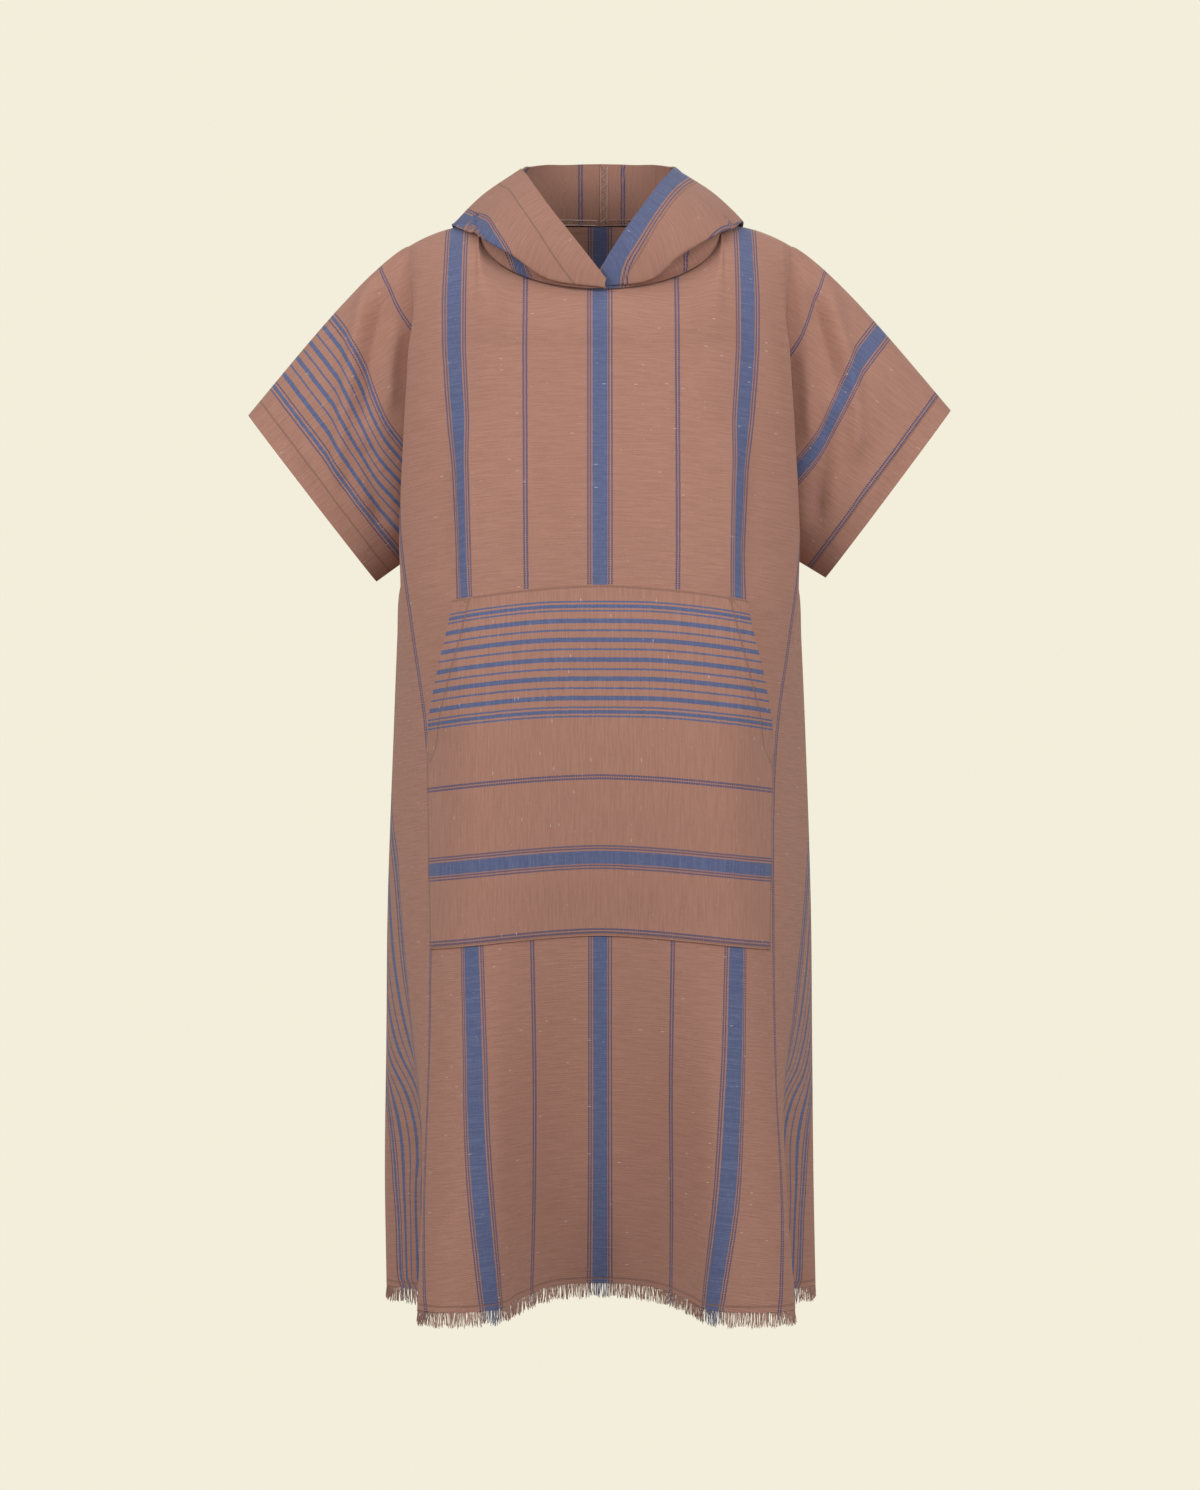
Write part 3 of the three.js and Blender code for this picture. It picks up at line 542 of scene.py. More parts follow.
def cloth_material(name, bands, painted_shade_value=1.0, pale=0.0):
    """Woven cloth: stripes by the distance across the warp, slubs and weave along the weft; a painted shade
    value can darken it all.
    """
    material = bpy.data.materials.new(name)
    material.use_nodes = True
    nodes, links = material.node_tree.nodes, material.node_tree.links
    nodes.clear()

    def filled(node, sources):
        """The node, with its sockets linked or set, each by its name or number."""
        for socket, source in sources:
            if isinstance(source, bpy.types.NodeSocket):
                links.new(source, node.inputs[socket])
            else:
                node.inputs[socket].default_value = source
        return node

    def maths(operation, *sources):
        node = nodes.new("ShaderNodeMath")
        node.operation = operation
        return filled(node, enumerate(sources)).outputs[0]

    def times(a, b):
        return maths("MULTIPLY", a, b)

    def plus(a, b):
        return maths("ADD", a, b)

    def wave(source, length):
        return maths("SINE", times(source, 2 * math.pi / length))

    def noise(x, y, scale=1.0, detail=2.0, roughness=0.5):
        place = filled(nodes.new("ShaderNodeCombineXYZ"), [(0, x), (1, y)]).outputs[0]
        node = nodes.new("ShaderNodeTexNoise")
        node.noise_dimensions = "2D"
        sockets = [("Vector", place), ("Scale", scale), ("Detail", detail), ("Roughness", roughness)]
        return filled(node, sockets).outputs["Fac"]

    def ranged(*sources):
        """A value turned from one range into another: the value, then both ranges' ends."""
        return filled(nodes.new("ShaderNodeMapRange"), enumerate(sources)).outputs[0]

    def blend(factor, a, b):
        node = nodes.new("ShaderNodeMix")
        node.data_type = "RGBA"
        a, b = (c if isinstance(c, bpy.types.NodeSocket) else (*c, 1) for c in (a, b))
        return filled(node, [(0, factor), (6, a), (7, b)]).outputs[2]

    def millimetres(layer):
        uv = nodes.new("ShaderNodeUVMap")
        uv.uv_map = layer
        split = filled(nodes.new("ShaderNodeSeparateXYZ"), [(0, uv.outputs[0])])
        return [times(split.outputs[k], 1 / MM) for k in (0, 1)]

    # Stripes, which wander a little as woven threads do
    u, v = millimetres("cloth")
    wander = times(maths("SUBTRACT", noise(times(u, 0.02), v, 0.35, 3.0), 0.5), 0.9)
    across = plus(u, wander)
    masks = {}
    for centre, half, kind in bands:
        mask = maths("COMPARE", across, float(centre), float(half))
        masks[kind] = maths("MAXIMUM", masks[kind], mask) if kind in masks else mask
    full = masks.get("full", 0.0)
    lines = times(masks["dots"], maths("GREATER_THAN", wave(v, DOT_LENGTH), -0.75)) if masks else 0.0

    # Yarns: thick and thin places along the weft, pale specks, fine fibres and broad patches
    slub = noise(times(u, 0.03), times(v, 0.55), detail=4.0, roughness=0.78)
    fleck = noise(times(u, 0.13), times(v, 0.62), detail=0.0)
    fine = noise(times(u, 0.75), times(v, 0.12))
    patch = noise(u, v, 0.008)
    ground = blend(ranged(slub, 0.36, 0.64, 0.0, 1.0), TERRACOTTA_DARK, TERRACOTTA)
    ground = blend(ranged(fine, 0.3, 0.7, 0.0, 0.28), ground, TERRACOTTA)
    ground = blend(ranged(patch, 0.35, 0.65, 0.0, 0.10), ground, TERRACOTTA_DARK)
    dye = blend(ranged(slub, 0.42, 0.72, 0.0, 0.75), BLUE, BLUE_PALE)
    dye = blend(ranged(fine, 0.3, 0.8, 0.0, 0.3), dye, BLUE_DARK)
    colour = blend(full, ground, dye)
    colour = blend(times(lines, 0.95), colour, BLUE_DARK)
    colour = blend(ranged(fleck, 0.905, 0.93, 0.0, 0.6), colour, FLECK)
    if pale:
        colour = blend(pale, colour, FRINGE_PALE)

    # Stitches in the groove that they pull into the cloth; the groove is sunk in the relief and darkened in
    # the colour as painted shade
    distance, run = millimetres("stitch")
    stitched = maths("GREATER_THAN", wave(run, STITCH_LENGTH), -0.5)
    stitch = times(maths("COMPARE", distance, 0.0, 0.55), stitched)
    groove_and_shade = ranged(maths("ABSOLUTE", distance), 0.5, 1.5, 1.0, 0.0)
    # painted shade: the band beside each stitch line is darkened, as well as sunk in the relief
    colour = blend(times(groove_and_shade, 0.62), colour, GROOVE_SHADE_COLOUR)
    colour = blend(times(stitch, 0.10), colour, THREAD)
    # painted shade: the whole colour is given a darker value, for cloth that takes less light
    if painted_shade_value != 1.0:
        shade = filled(nodes.new("ShaderNodeHueSaturation"), [("Value", painted_shade_value), ("Color", colour)])
        colour = shade.outputs[0]

    weave = wave(plus(v, times(slub, 1.2)), WEFT_PITCH)
    height = plus(plus(slub, times(weave, 0.10)), times(fine, 0.35))
    height = maths("SUBTRACT", height, times(maths("SUBTRACT", groove_and_shade, stitch), 0.8))
    relief = [("Strength", 0.5), ("Distance", 0.0007), ("Height", height)]
    bump = filled(nodes.new("ShaderNodeBump"), relief)
    surface = filled(nodes.new("ShaderNodeBsdfPrincipled"), [
        ("Base Color", colour),
        ("Normal", bump.outputs[0]),
        ("Roughness", 0.92),
        ("Specular IOR Level", 0.15),
        ("Sheen Weight", 0.12),
        ("Sheen Roughness", 0.6),
        ("Sheen Tint", (0.95, 0.85, 0.8, 1)),
    ])
    filled(nodes.new("ShaderNodeOutputMaterial"), [(0, surface.outputs[0])])
    return material


# Stripes of each piece: distance from the cloth's middle or edge, half width, unbroken or dotted
BODY_BANDS = [
    *double_line(74),
    *broad(145),
    *double_line(217),
    *line_group(291),
]
CENTRE_LINES = [(8.6, 0.75, "dots"), (11.6, 0.75, "dots"), (-9.3, 0.75, "dots"), (-11.8, 0.75, "dots")]
BODY_STRIPES = [
    (0, BROAD_HALF, "full"),
    *CENTRE_LINES,
    *[(s * c + 1.5, h, k) for s in (-1, 1) for c, h, k in BODY_BANDS],
]
body_cloth = cloth_material("body_cloth", BODY_STRIPES)
SLEEVE_STRIPES = {
    "left": [*line_group(38.7), *double_line(202.4)],
    "right": [*double_line(21.5), *broad(104.5), *double_line(192.5)],
}
HOOD_STRIPES = {
    "left": [*broad(74), *double_line(147.5), *broad(206), *double_line(290)],
    "right": [
        (7.4, 9.2, "full"), (19.0, 0.8, "dots"), (22.2, 0.8, "dots"),
        *double_line(82.5), *broad(156), *double_line(225),
    ],
}
# The hood's cloth is darkened in its colour as painted shade
HOOD_PAINTED_SHADE = 0.9
POCKET_LINES = [
    (402.5, 1.7), (398.1, 0.8), (406.9, 0.8), (416.6, 2.2), (425.7, 0.9), (434.8, 2.2), (443.8, 0.9),
    (453.7, 2.2), (462.8, 0.9), (471.9, 2.2), (480.9, 0.9), (490.4, 2.2), (503.7, 1.7), (499.3, 0.8),
    (508.1, 0.8),
]
POCKET_STRIPES = [
    *[(place, half, "full") for place, half in POCKET_LINES],
    *double_line(567),
    *broad(643.6, 6.2),
    *double_line(714),
]
pocket_cloth = cloth_material("pocket_cloth", POCKET_STRIPES)


# Front and back

SIDE_SAG = 14


def panel_cloth_uv(grid, steps, follow=None):
    """Distance across the warp from the middle line, and drop along it, in millimetres of cloth."""
    middle = sum(steps)
    across = arc_lengths(grid)
    across = across - across[middle]
    if grid[0, -1, 0] > grid[-1, -1, 0]:
        across = -across
    if follow:
        across = follow(across, np.maximum(-grid[..., 2], YOKE_DROP))
    yoke = YOKE_ROWS
    x, u = grid[:, yoke, 0], across[:, yoke]
    inner = slice(sum(steps[:-2]), len(grid) - sum(steps[:-2]))
    order = np.argsort(x[inner])
    xs, us = x[inner][order], u[inner][order]
    top_x = grid[:, 0, 0]
    top = np.interp(top_x, xs, us) + np.maximum(top_x - xs[-1], 0) - np.maximum(xs[0] - top_x, 0)
    share = (np.arange(yoke) / yoke) ** 2
    across[:, :yoke] = mix(top[:, None], u[:, None], share)
    run = down(arc_lengths, grid)
    drop = -grid[..., 2] - SIDE_SAG * (grid[..., 0] / 170) ** 2
    rise = run - run[:, yoke:yoke + 1]
    along = np.where(np.arange(grid.shape[1]) < yoke, rise + drop[:, yoke:yoke + 1], drop)
    return np.stack([across, along], -1)


HEM_STITCH = 5.0


def hem_stitches(grid, offset):
    """Distance from the stitch line over the hem, and run along it."""
    drop = down(arc_lengths, grid)
    return np.stack([drop[:, -1:] - drop - offset, arc_lengths(grid)], -1)


FRONT_CREASES = [
    # soft folds that fall from the neckline and the hood's weight
    ([(-103, -75), (-108, -140), (-106, -215)], 13, 1.8),
    ([(-86, -92), (-88, -160), (-84, -240)], 12, -1.6),
    ([(104, -72), (110, -150), (106, -220)], 13, 1.6),
    ([(86, -92), (88, -160), (86, -230)], 12, -1.4),
    # drag lines from the shoulder to the underarm
    ([(-150, -60), (-166, -150), (-176, -260)], 14, 2.2),
    ([(150, -60), (166, -150), (176, -250)], 14, 2.0),
    ([(-140, -180), (-158, -280), (-160, -400)], 16, -1.8),
    ([(141, -180), (158, -290), (158, -410)], 16, -1.9),
    # folds that narrow the broad side stripes above the pocket
    ([(-126, -215), (-128, -270), (-128, -330), (-131, -392)], 7, 3.2, 0.3),
    ([(-144, -225), (-143, -290), (-143, -350), (-146, -400)], 8, -3.0, 0.3),
    ([(129, -215), (128, -270), (126, -330), (128, -392)], 7, 3.2, 0.3),
    ([(146, -225), (144, -290), (142, -350), (144, -400)], 8, -3.2, 0.3),
    # long falls of the skirt, which run on past the hem so that they don't fade there
    ([(-104, -720), (-101, -900), (-99, -1080), (-99, -1500)], 21, 9.5, 0.5),
    ([(-54, -720), (-52, -900), (-48, -1080), (-48, -1500)], 24, -6.5, 0.5),
    ([(112, -720), (110, -900), (108, -1080), (108, -1500)], 21, 9.5, 0.5),
    ([(56, -720), (58, -900), (56, -1080), (56, -1500)], 24, -6.5, 0.5),
    ([(-84, -740), (-84, -900), (-82, -1080), (-82, -1500)], 9, -2.6, 0.5),
    ([(90, -740), (88, -900), (90, -1080), (90, -1500)], 9, -3.0, 0.5),
    ([(-152, -560), (-150, -700), (-154, -900)], 12, 1.6),
    ([(152, -560), (152, -700), (158, -900)], 12, 1.6),
]
BACK_CREASES = [
    ([(-60, -240), (-66, -420), (-60, -700)], 22, -2.2),
    ([(52, -230), (60, -430), (66, -660)], 22, -2.0),
    ([(-120, -420), (-124, -700), (-132, -1060)], 18, 2.6),
    ([(116, -430), (126, -700), (134, -1060)], 18, 2.8),
    ([(-88, -640), (-88, -850), (-92, -1060)], 17, -3.0),
    ([(86, -620), (92, -850), (94, -1060)], 17, -2.8),
    ([(-20, -560), (-12, -800), (-8, -1060)], 24, 2.2),
    ([(-150, -90), (-164, -200), (-168, -330)], 15, 2.0),
    ([(150, -90), (162, -200), (168, -320)], 15, 1.8),
    ([(-160, -460), (-170, -640), (-168, -860)], 15, -2.0),
    ([(160, -450), (172, -640), (170, -880)], 15, -2.2),
]

front = panel_grid(
    front_section,
    FRONT_STEPS,
    [0, 0.06, 0.13, 0.28, 1],
    NECK_FRONT,
    [HEM_DROP[k] for k in ("seam", "side", "tuck", "fold", "crest", "centre")],
    (-1, 1),
)
back = panel_grid(
    back_section,
    BACK_STEPS,
    [0, 0.28, 1],
    NECK_NAPE,
    [HEM_DROP["seam"], BACK_HEM_DROP, BACK_HEM_DROP, BACK_HEM_DROP],
    (1, -1),
)
front_normals = panel_normals(front, FRONT_STEPS)
back_normals = panel_normals(back, BACK_STEPS)


# Where the cloth's stripes lie on the front: arc lengths from the middle at a drop, and the cloth's own
# distance there; the cloth between is drawn in or eased out by the hidden tucks
STRIPE_COLUMNS = "drop a74 a145 a217 tuckArc tuckCloth outArc outCloth"
STRIPE_PATH = {}
STRIPE_PATH["left"] = table(STRIPE_COLUMNS, [
    [150, 73, 143, 219, 230, 230, 240, 240],
    [345, 71.3, 133, 217, 245, 246, 290, 288],
    [430, 70, 130, 204, 246, 252, 293, 292],
    [525, 69, 128, 189.5, 245, 258, 286, 288],
    [591, 68, 126, 181, 243, 268, 286, 291],
    [664, 67, 125, 174, 250, 291, 284, 306.5],
    [766, 66.5, 125, 175, 227, 291, 281, 322],
    [834, 66.6, 126.5, 178, 224, 305, 281, 341],
    [882, 67, 129, 183, 226, 327, 283, 367],
    [982, 70, 133.5, 194, 286, 347, 310, 380],
    [1060, 76, 137, 202, 325, 352, 339, 380],
])
STRIPE_PATH["right"] = table(STRIPE_COLUMNS, [
    [150, 75, 145, 221, 232, 232, 242, 242],
    [345, 75, 134, 224, 246, 247, 290, 288],
    [430, 74, 134, 210, 246, 252, 293, 292],
    [525, 73, 133, 194.5, 245, 256, 290, 290],
    [625, 72, 132.5, 182, 243, 270, 291, 291],
    [707, 71.4, 132.5, 179, 236, 272, 279, 306.5],
    [766, 71.5, 133, 180, 232, 281, 275, 316],
    [843, 72, 135, 184, 226, 291, 260, 327.3],
    [882, 72.5, 136, 187, 227, 327, 284, 367],
    [982, 75.4, 139.7, 197, 286, 347, 310, 380],
    [1060, 77, 140, 204, 325, 352, 339, 380],
])


# Half width that shows of the 16 mm around each broad side stripe, which a fold narrows at the pocket
PINCH = table("drop half", [[150, 8], [225, 7.9], [265, 6.2], [332, 5.0], [385, 3.8], [700, 7.6], [760, 8]])


def follow_stripes(across, drop):
    """Arc lengths along the front's rows turned into the cloth's own distances from the middle."""
    result = np.empty_like(across)
    arc = np.abs(across)
    for side, chosen in (("left", across < 0), ("right", across >= 0)):
        rows = STRIPE_PATH[side]
        at = {name: read(rows, name, drop) for name in rows if name != "knots"}
        pinch = np.interp(drop, PINCH["drop"], PINCH["half"])
        stops = [
            (0, 0),
            (at["a74"], 74),
            (at["a145"] - pinch, 145 - 8),
            (at["a145"] + pinch, 145 + 8),
            (at["a217"], 217),
            (at["tuckArc"], at["tuckCloth"]),
            (at["outArc"], at["outCloth"]),
            (at["outArc"] + 100, at["outCloth"] + 100),
        ]
        value = 0
        for (arc_a, cloth_a), (arc_b, cloth_b) in zip(stops, stops[1:]):
            share = np.clip((arc - arc_a) / (arc_b - arc_a), 0, 1)
            value = value + share * (cloth_b - cloth_a)
        result[chosen] = value[chosen]
    return np.sign(across) * result + 1.5 * np.clip(arc / 74, 0, 1)


def edge_hold(grid):
    """Creases die out towards the seams at the top and the sides."""
    columns, rows = grid.shape[:2]
    side = np.minimum(np.arange(columns), np.arange(columns)[::-1])[:, None]
    return smooth(0, 12, side) * smooth(0, 10, np.arange(rows))[None, :]


front_uv = panel_cloth_uv(front, FRONT_STEPS, follow_stripes)
back_uv = panel_cloth_uv(back, BACK_STEPS)
front_shape = creased(front, front_normals, FRONT_CREASES, edge_hold(front))
back_shape = creased(back, back_normals, BACK_CREASES, edge_hold(back))
front_normals = panel_normals(front_shape, FRONT_STEPS)
back_normals = panel_normals(back_shape, BACK_STEPS)

cloth_front = cloth_piece(
    "cloth_front", front_shape, front_normals, front_uv, hem_stitches(front_shape, HEM_STITCH), body_cloth
)
cloth_back = cloth_piece(
    "cloth_back", back_shape, back_normals, back_uv, hem_stitches(back_shape, HEM_STITCH), body_cloth
)


# Sleeves

SLEEVE_CREASES = {
    "left": [
        ([(-221, -62), (-234, -101), (-243, -142), (-246, -170), (-250, -197),
          (-254, -227), (-258, -262), (-266, -300)], 8, 7.0, 0.2),
        ([(-206, -74), (-219, -115), (-228, -160), (-231, -200), (-232, -236)], 9, -7.0),
        ([(-196, -110), (-206, -160), (-208, -215)], 8, 3.6),
        ([(-236, -230), (-226, -270), (-214, -330)], 11, -5.5),
        ([(-300, -230), (-280, -280), (-256, -330)], 14, 2.2),
        ([(-330, -220), (-300, -262), (-268, -310)], 10, -1.6),
    ],
    "right": [
        ([(224, -72), (229, -101), (238, -132), (247, -164), (251, -188),
          (253, -230), (250, -270)], 8, 6.4, 0.2),
        ([(208, -76), (217, -122), (227, -160), (233, -200)], 9, -6.4),
        ([(198, -130), (206, -190), (208, -250)], 9, 3.8),
        ([(230, -200), (220, -255), (212, -330)], 11, -5.6),
        ([(300, -220), (278, -280), (254, -330)], 14, 2.0),
        ([(270, -150), (268, -200), (258, -260)], 12, 1.6),
    ],
}


SLEEVE_CROWN = 8.5
SLEEVE_STITCH = 18.5


def sleeve_grid(front_edge, back_edge, sign, hem):
    ring = np.concatenate([front_edge, back_edge[1:-1][::-1]])
    count = len(front_edge) - 1
    middle = (front_edge[0] + front_edge[count]) / 2
    top = np.array([sign * hem["top"][0], 0, hem["top"][1]], float)
    under = np.array([sign * hem["under"][0], 0, hem["under"][1]], float)
    inset = middle - ring
    inset[:, 0] = 0
    angle = np.arange(len(ring)) * math.pi / count
    top_share = np.maximum(np.cos(angle), 0)[:, None] ** 2
    start = ring + unit(inset) * mix(LAP + 1.1, 0.2, top_share**0.6)
    finish = (top + under) / 2 + (top - under) / 2 * np.cos(angle)[:, None]
    finish[:, 1] = -SLEEVE_HEM_HALF_DEPTH * np.sin(angle)
    share = np.arange(SLEEVE_ROWS + 1) / SLEEVE_ROWS
    swell = SLEEVE_BULGE * np.sin(share * math.pi) ** 1.5
    grid = mix(start[:, None], finish[:, None], share[None, :, None])
    crown = SLEEVE_CROWN * np.sin(share**0.6 * math.pi)
    grid[..., 0] += sign * 0.72 * crown * top_share
    grid[..., 2] += 0.69 * crown * top_share
    grid[..., 1] -= swell * np.sin(angle)[:, None]
    return grid


def sleeve_cloth_uv(grid, sign, hem, ridge):
    """Distance from the sleeve's hem, and run along the hem; cloth is taken up beside the main fold."""
    top = np.array([sign * hem["top"][0], hem["top"][1]], float)
    under = np.array([sign * hem["under"][0], hem["under"][1]], float)
    direction = unit(under - top)
    inward = np.array([direction[1], -direction[0]]) * sign
    offset = grid[..., [0, 2]] - top
    run = offset @ direction
    ridge = np.array(ridge, float)
    order = np.argsort(ridge[:, 1])
    ridge_x = np.abs(np.interp(grid[..., 2], ridge[order, 1], ridge[order, 0]))
    past = ridge_x - np.abs(grid[..., 0])
    full = mix(1.05, 0.36, smooth(235, 350, -grid[..., 2]))
    full = full * mix(0.45 if sign < 0 else 0.78, 1, smooth(140, 225, -grid[..., 2]))
    gain = 0.09 * smooth(-12, 12, past) + 0.13 * smooth(4, 48, past)
    rise = (offset @ inward) * (1.015 + gain * full)
    return np.stack([rise, run], -1)


armhole_rows = YOKE_ROWS + CHEST_ROWS + 1
armholes = {
    "left": (front[0, :armhole_rows], back[-1, :armhole_rows]),
    "right": (front[-1, :armhole_rows], back[0, :armhole_rows]),
}
sleeves = {}
for side, sign in (("left", -1), ("right", 1)):
    creases = SLEEVE_CREASES[side]
    grid = sleeve_grid(*armholes[side], sign, SLEEVE_HEM[side])
    normals = grid_normals(grid, loop=True)
    inward = unit(np.mean(grid, 0, keepdims=True) - grid)
    turned = normals * (-1 if np.sum(normals * inward) < 0 else 1)
    share = np.arange(SLEEVE_ROWS + 1) / SLEEVE_ROWS
    hold = smooth(0, 0.06, share) * smooth(0, 0.12, 1 - share)
    facing = np.clip(-grid[..., 1] / 14, -1, 1)
    shape = creased(grid, turned, creases, np.maximum(facing, 0) * hold)
    rear_creases = [
        ([(x + 6 * sign, z - 8) for x, z in path], width + 2, height * 0.7, *rest)
        for path, width, height, *rest in creases[:4]
    ]
    shape = creased(shape, turned, rear_creases, np.maximum(-facing, 0) * hold)
    uv = sleeve_cloth_uv(grid, sign, SLEEVE_HEM[side], creases[0][0])
    sleeves[side] = cloth_piece(
        f"cloth_sleeve_{side}", shape, grid_normals(shape, loop=True), uv,
        np.stack([uv[..., 0] - SLEEVE_STITCH, uv[..., 1]], -1),
        cloth_material(f"sleeve_{side}_cloth", SLEEVE_STRIPES[side]), loop=True,
    )


# Hood

def neck_run(side):
    """Neck seam of one side, from the middle of the front to the nape, just above the panels."""
    sign = -1 if side == "left" else 1
    front_middle, back_middle = sum(FRONT_STEPS), sum(BACK_STEPS)
    count = FRONT_STEPS[-1]

    def above(edge, forward):
        return edge + np.array([0, forward, math.sqrt(1 - forward**2)]) * (LAP + FOOT_LIFT)

    run = [above(front[front_middle + sign * k, 0], mix(-0.93, -0.1, k / count)) for k in range(count + 1)]
    run += [above(back[back_middle - sign * k, 0], mix(0.9, 0.1, k / count)) for k in range(count)[::-1]]
    run = np.array(run)
    run[-1, 0] = sign * HOOD_SEAM / 2
    run[0, 0] = -sign * (FRONT_OVERLAP if side == "left" else SEAM_GAP)
    return run


def hood_grid(neck, rolls, sign, lift):
    """Hood half: each column is a section from the neck seam to the opening's edge."""
    station = np.linspace(0, 12, HOOD_STATIONS + 1)
    at = station / 12 * (len(neck) - 1)
    low = np.minimum(at.astype(int), len(neck) - 2)
    foot = mix(neck[low], neck[low + 1], (at - low)[:, None])
    foot[:, 1] -= lift * (1 - smooth(0.3, 1.6, station))

    def line(columns, name):
        return points(
            sign * read(columns, name + "X", station),
            read(columns, name + "Y", station),
            read(columns, name + "Z", station),
        )

    roll, edge = line(rolls, "c"), line(rolls, "d")
    overhang = (smooth(1.1, 2.3, station) * (1 - smooth(3.4, 5.2, station)))[:, None]
    rise = mix(foot, roll, mix(0.4, 0.12, overhang))
    rise[:, 2] += SEAM_ARCH
    rise = mix(rise, line(HOOD_STAND, "b"), smooth(5, 7, station)[:, None])
    for part in (rise, roll, edge):
        part[-1, 0] = sign * HOOD_SEAM / 2
    outward = unit(roll * [1, 1, 0])
    fall = mix(rise, roll, mix(0.5, 0.62, smooth(6, 9, station))[:, None])
    fall += outward * (-8 * smooth(6, 9, station))[:, None]
    fall += overhang * (np.array([0, 0, 9.0]) - 6.0 * outward)
    face = mix(roll, edge, 0.5) + outward * read(rolls, "puff", station)[:, None]
    lines = np.stack([foot, rise, fall, roll, face, edge], 1)
    places = span_places(HOOD_STEPS)
    return section_point(
        np.broadcast_to(lines[:, None], (len(station), len(places), 6, 3)),
        np.broadcast_to(places, (len(station), len(places))),
    )


def upper_tree(panel):
    """Search tree of a panel's upper part, which the hood lies on."""
    rows = YOKE_ROWS + 1
    columns = len(panel)
    vertices = panel[:, :rows].reshape(-1, 3)
    faces = []
    for i in range(columns - 1):
        for j in range(rows - 1):
            a, b = i * rows + j, (i + 1) * rows + j
            faces += [(a, b, b + 1), (a, b + 1, a + 1)]
    return BVHTree.FromPolygons([tuple(p) for p in vertices], faces)


def keep_clear(grid, tree, far):
    """Hood points that would lie on or in a panel, moved out to a clear distance from it."""
    for i in range(grid.shape[0]):
        for j in range(grid.shape[1]):
            clearance = mix(LAP + FOOT_LIFT, far, min(j / 6, 1))
            near, inward, _, distance = tree.find_nearest(grid[i, j].tolist(), 3 * HOOD_CLEARANCE)
            if near is None:
                continue
            inward = np.array(inward)
            depth = (np.array(near) - grid[i, j]) @ inward
            if depth < clearance:
                grid[i, j] += inward * (depth - clearance)


def evened(moved, passes):
    """Displacements of a grid's points, each shared with its neighbours, with the foot left as it is."""
    foot = moved[:, :2].copy()
    for _ in range(passes):
        padded = np.pad(moved, ((1, 1), (1, 1), (0, 0)), mode="edge")
        moved = (
            2 * padded[1:-1, 1:-1]
            + padded[2:, 1:-1] + padded[:-2, 1:-1] + padded[1:-1, 2:] + padded[1:-1, :-2]
        ) / 6
        moved[:, :2] = foot
    return moved


def smooth_min(a, b, width):
    share = np.clip(0.5 + 0.5 * (b - a) / width, 0, 1)
    return mix(b, a, share) - width * share * (1 - share)


HOOD_EASE = 0.85
CASING = 30
EVENING = 14
# Cloth from the opening's edge to the seam at the back, along the nape
HOOD_DEPTH = {"left": 310, "right": 248.5}
trees = [upper_tree(front_shape), upper_tree(back_shape)]
hoods = {}
hood_shapes = {}
for side, sign, lift in (("left", -1, FRONT_LIFT), ("right", 1, 0)):
    grid = hood_grid(neck_run(side), HOOD_ROLL[side], sign, lift)
    drawn = grid.copy()
    for tree in trees:
        keep_clear(grid, tree, HOOD_CLEARANCE)
    grid = drawn + evened(grid - drawn, EVENING)
    for tree in trees:
        keep_clear(grid, tree, HOOD_CLEARANCE - 1.4)
    foot_run = arc_lengths(grid[:, 0])[:, None]
    section = down(arc_lengths, grid)
    edge_distance = section[:, -1:] - section
    length = foot_run[-1]
    along = arc_lengths(grid)
    from_seam = along[-1:] - along
    stretched = foot_run + (HOOD_DEPTH[side] - length) * smooth(100, length - 25, foot_run)
    near_back = smooth(0.55, 0.85, foot_run / length)
    from_opening = mix(stretched, HOOD_DEPTH[side] - from_seam, near_back)
    uv = np.stack([smooth_min(from_opening, HOOD_EASE * edge_distance, 26.0), along], -1)
    casing = edge_distance - CASING
    near_seam = from_seam < np.abs(casing)
    stitch = [np.where(near_seam, from_seam + 0.4, casing), np.where(near_seam, section, along)]
    normals = grid_normals(grid)
    cloth = cloth_material(f"hood_{side}_cloth", HOOD_STRIPES[side], painted_shade_value=HOOD_PAINTED_SHADE)
    hoods[side] = cloth_piece(f"cloth_hood_{side}", grid, normals, uv, np.stack(stitch, -1), cloth)
    hood_shapes[side] = (grid, normals)


seam_yarn = cloth_material("seam_yarn", [], pale=0.85)
SEAM_YARN = {"points": 56, "radius": 0.5}


def at_runs(runs, line, values):
    """Values kept at a line's points, at runs along it."""
    lengths = arc_lengths(line)
    return np.stack([np.interp(runs, lengths, column) for column in values.T], -1)


def beside(lines, normals, distance, lift):
    """Points at one distance from the start of each line, lifted along the normals there."""
    return np.array([
        at_runs(distance, line, line) + lift * at_runs(distance, line, facing)
        for line, facing in zip(lines, normals)
    ])


def evenly(line, count):
    """The line with its points set out at one distance."""
    return at_runs(np.linspace(0, arc_lengths(line)[-1], count), line, line)


def overlock(lines, normals, near, far):
    """A zigzag of thread over a seam's cut edge, and a straight thread along both of its sides."""
    lift = CLOTH / 2 + SEAM_YARN["radius"] + 0.05
    count = SEAM_YARN["points"]
    low, high = (evenly(beside(lines, normals, place, lift), count) for place in (near, far))
    even = (np.arange(count) % 2 == 0)[:, None]
    return [np.where(even, low, high), low, high]


